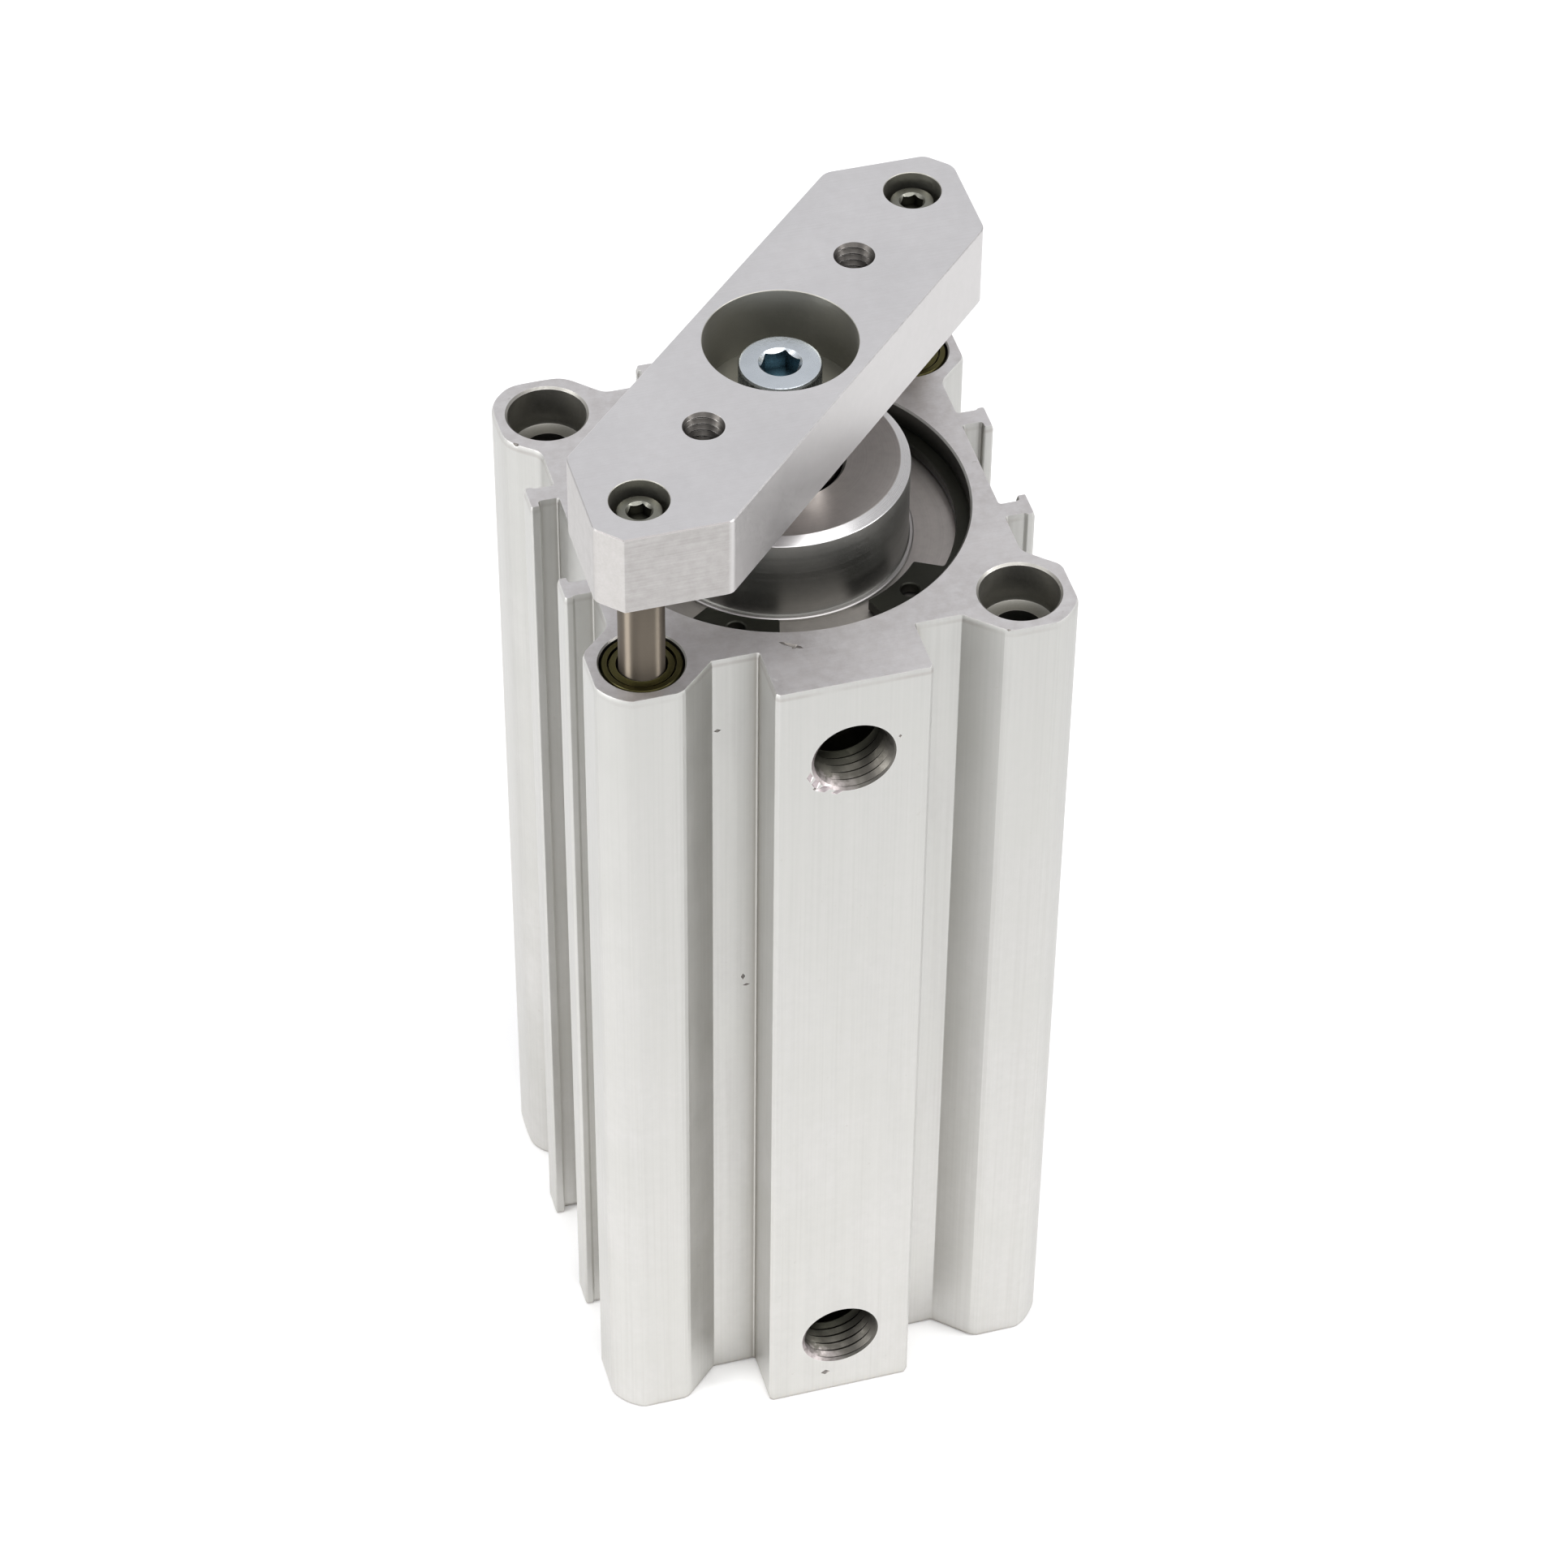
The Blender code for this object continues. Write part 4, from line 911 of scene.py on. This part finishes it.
def build_plate():
    low, high = corners("end_plate")
    bottom, top = low.z, high.z
    plate = extruded("end_plate_finished", plate_outline(), bottom, top, PLATE_CHAMFER,
                     material=PLATE)
    c = 0.08
    cutters = [turned("cut", [
        (0.0, top + PAST), (WELL_RADIUS + c, top + PAST), (WELL_RADIUS + c, top),
        (WELL_RADIUS, top - c), (WELL_RADIUS, WELL_FLOOR), (BOLT_HOLE, WELL_FLOOR),
        (BOLT_HOLE, bottom - PAST), (0.0, bottom - PAST),
    ], FINE, material=WELL)]
    core, root, pitch = TAPPED
    for side in (-1.0, 1.0):
        cutters.append(turned("cut", [
            (0.0, top + PAST), (SCREW_WELL + c, top + PAST), (SCREW_WELL + c, top),
            (SCREW_WELL, top - c), (SCREW_WELL, SCREW_WELL_FLOOR),
            (SCREW_HOLE, SCREW_WELL_FLOOR), (SCREW_HOLE, WELL_FLOOR),
            (SPIGOT_HOLE, WELL_FLOOR), (SPIGOT_HOLE, bottom - PAST), (0.0, bottom - PAST),
        ], HOLE, (side * CORNER, side * CORNER), WELL))
        place = (side * TAPPED_OFFSET, side * TAPPED_OFFSET)
        cutters.append(threaded("cut", core, root, pitch, bottom - TAPPED_START * pitch,
                                top + pitch, place, SHADED_TAPPED_WALL))
    show(carve(plate, cutters), "slide_unit", "end_plate")


def build_screw(node, sizes, material, inside):
    """A socket-head screw with a knurled head and a hexagon recess."""
    height, hexagon, depth, shank = sizes
    low, high = corners(node)
    head = (high.x - low.x) / 2.0
    size = head / BOLT_HEAD
    top, tip = high.z, low.z
    under = top - height
    c = 0.45 * size
    profile = [
        (0.0, top), (head - c, top), (head - c / 3.0, top - c / 3.0), (head, top - c),
        (head, top - c - 0.1), (head, under + 0.3), (head - 0.2, under),
        (shank, under), (shank, tip + 0.4), (shank - 0.4, tip), (0.0, tip),
    ]
    centre = axis_of(node)
    screw = turned(f"{node}_finished", profile, HOLE, centre, material)
    for vertex in screw.data.vertices:
        spot = vertex.co / MM
        if under < spot.z < top - c - 0.05 and spot.xy.length > head - 0.05:
            step = round(math.atan2(spot.y, spot.x) / math.tau * HOLE)
            if step % 2:
                vertex.co.xy *= 1.0 - 0.16 * size / head
    socket = extruded("cut", arc(hexagon, 0.0, 300.0, 5), top - depth, top + PAST, 0.0,
                      centre, inside)
    lead = turned("cut", [
        (0.0, top + PAST), (hexagon + 0.15 + PAST, top + PAST), (0.0, top - hexagon - 0.15),
    ], HOLE, centre, material)
    show(carve(screw, [socket, lead]), "slide_unit", node)


def build_guide_rod(node):
    low, high = corners(node)
    radius, bottom, top = (high.x - low.x) / 2.0, low.z, high.z
    thread, thread_end = GUIDE_THREAD
    rod = turned(f"{node}_finished", [
        (0.0, thread_end), (thread, thread_end), (thread, top), (radius - 0.3, top),
        (radius, top - 0.3), (radius, bottom + 0.8), (radius - 0.25, bottom + 0.25),
        (radius - 0.8, bottom), (0.0, bottom),
    ], HOLE, axis_of(node), GROUND)
    show(rod, "slide_unit", node)


def paint(material, *nodes):
    """Give carried-over CAD nodes their finished material."""
    for node in nodes:
        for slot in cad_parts[node].material_slots:
            slot.material = material


build_tube()
build_rod_cover()
build_head_cover()
build_rings()
for side in GUIDE_SIDES:
    build_bush(f"guide_bush_{side}")
    build_wiper(f"guide_wiper_{side}")
build_piston_rod()
build_plate()
build_screw("plate_bolt", PLATE_BOLT, ZINC, SHADED_ZINC_SOCKET)
for side in GUIDE_SIDES:
    build_screw(f"guide_screw_{side}", GUIDE_SCREW, SCREW, SHADED_SCREW_SOCKET)
for side in GUIDE_SIDES:
    build_guide_rod(f"guide_rod_{side}")
paint(RUBBER, "rod_cover_o_ring", "head_cover_o_ring", "rod_seal", "piston_seal",
      "piston_rod_o_ring")
paint(BUMPER, "bumper_head_side", "bumper_rod_side")
paint(BUSH, "rod_bush")
paint(INNER_ALLOY, "piston")
paint(MAGNET, "magnet_ring")
paint(WEAR, "wear_ring")
paint(ZINC, "piston_nut")


# Floor, light and camera.

def build_floor():
    n = Nodes("studio_paper")
    soft = n.noise(n.spot, 300.0, 2.0)
    tint = n.mix(soft, (0.96, 0.96, 0.96), (0.98, 0.98, 0.98))
    material = n.finish(tint, n.ramp(soft, 0.0, 1.0, 0.85, 0.95), n.noise(n.spot, 1.0), 0.01, 0.0,
                        Specular_IOR_Level=0.1)
    half, low = FLOOR_HALF, -FLOOR_DROP
    mesh = mesh_of("floor", [(-half, -half, low), (half, -half, low), (half, half, low),
                             (-half, half, low)], [[0, 1, 2, 3]])
    put("floor", mesh, material=material)


def soft_box(name, place, width, height, power):
    """An area light that faces the middle of the cylinder."""
    light = bpy.data.lights.new(name, "AREA")
    light.shape = "RECTANGLE"
    light.size, light.size_y = width, height
    light.energy = power
    item = bpy.data.objects.new(name, light)
    item.location = place
    aim = Vector(LIGHT_TARGET) - Vector(place)
    item.rotation_euler = aim.to_track_quat("-Z", "Y").to_euler()
    bpy.context.scene.collection.objects.link(item)


def build_light():
    world = bpy.data.worlds.new("studio")
    bpy.context.scene.world = world
    world.use_nodes = True
    background = world.node_tree.nodes["Background"]
    background.inputs["Color"].default_value = (0.985, 0.985, 1.0, 1.0)
    background.inputs["Strength"].default_value = 0.72
    for name, values in LIGHTS.items():
        soft_box(name, *values)


def build_camera():
    back, level = Vector(CAMERA_BACK).normalized(), Vector(CAMERA_LEVEL).normalized()
    roll = math.radians(CAMERA_ROLL)
    upright = back.cross(level)
    right = math.cos(roll) * level + math.sin(roll) * upright
    up = back.cross(right)
    camera = bpy.data.cameras.new("camera")
    camera.lens = CAMERA_LENS
    camera.sensor_width = CAMERA_SENSOR
    item = bpy.data.objects.new("camera", camera)
    turn = Matrix((right, up, back)).transposed().to_4x4()
    item.matrix_world = Matrix.Translation(CAMERA_PLACE) @ turn
    bpy.context.scene.collection.objects.link(item)
    bpy.context.scene.camera = item


build_floor()
build_light()
build_camera()
bpy.context.scene.view_settings.view_transform = "Standard"
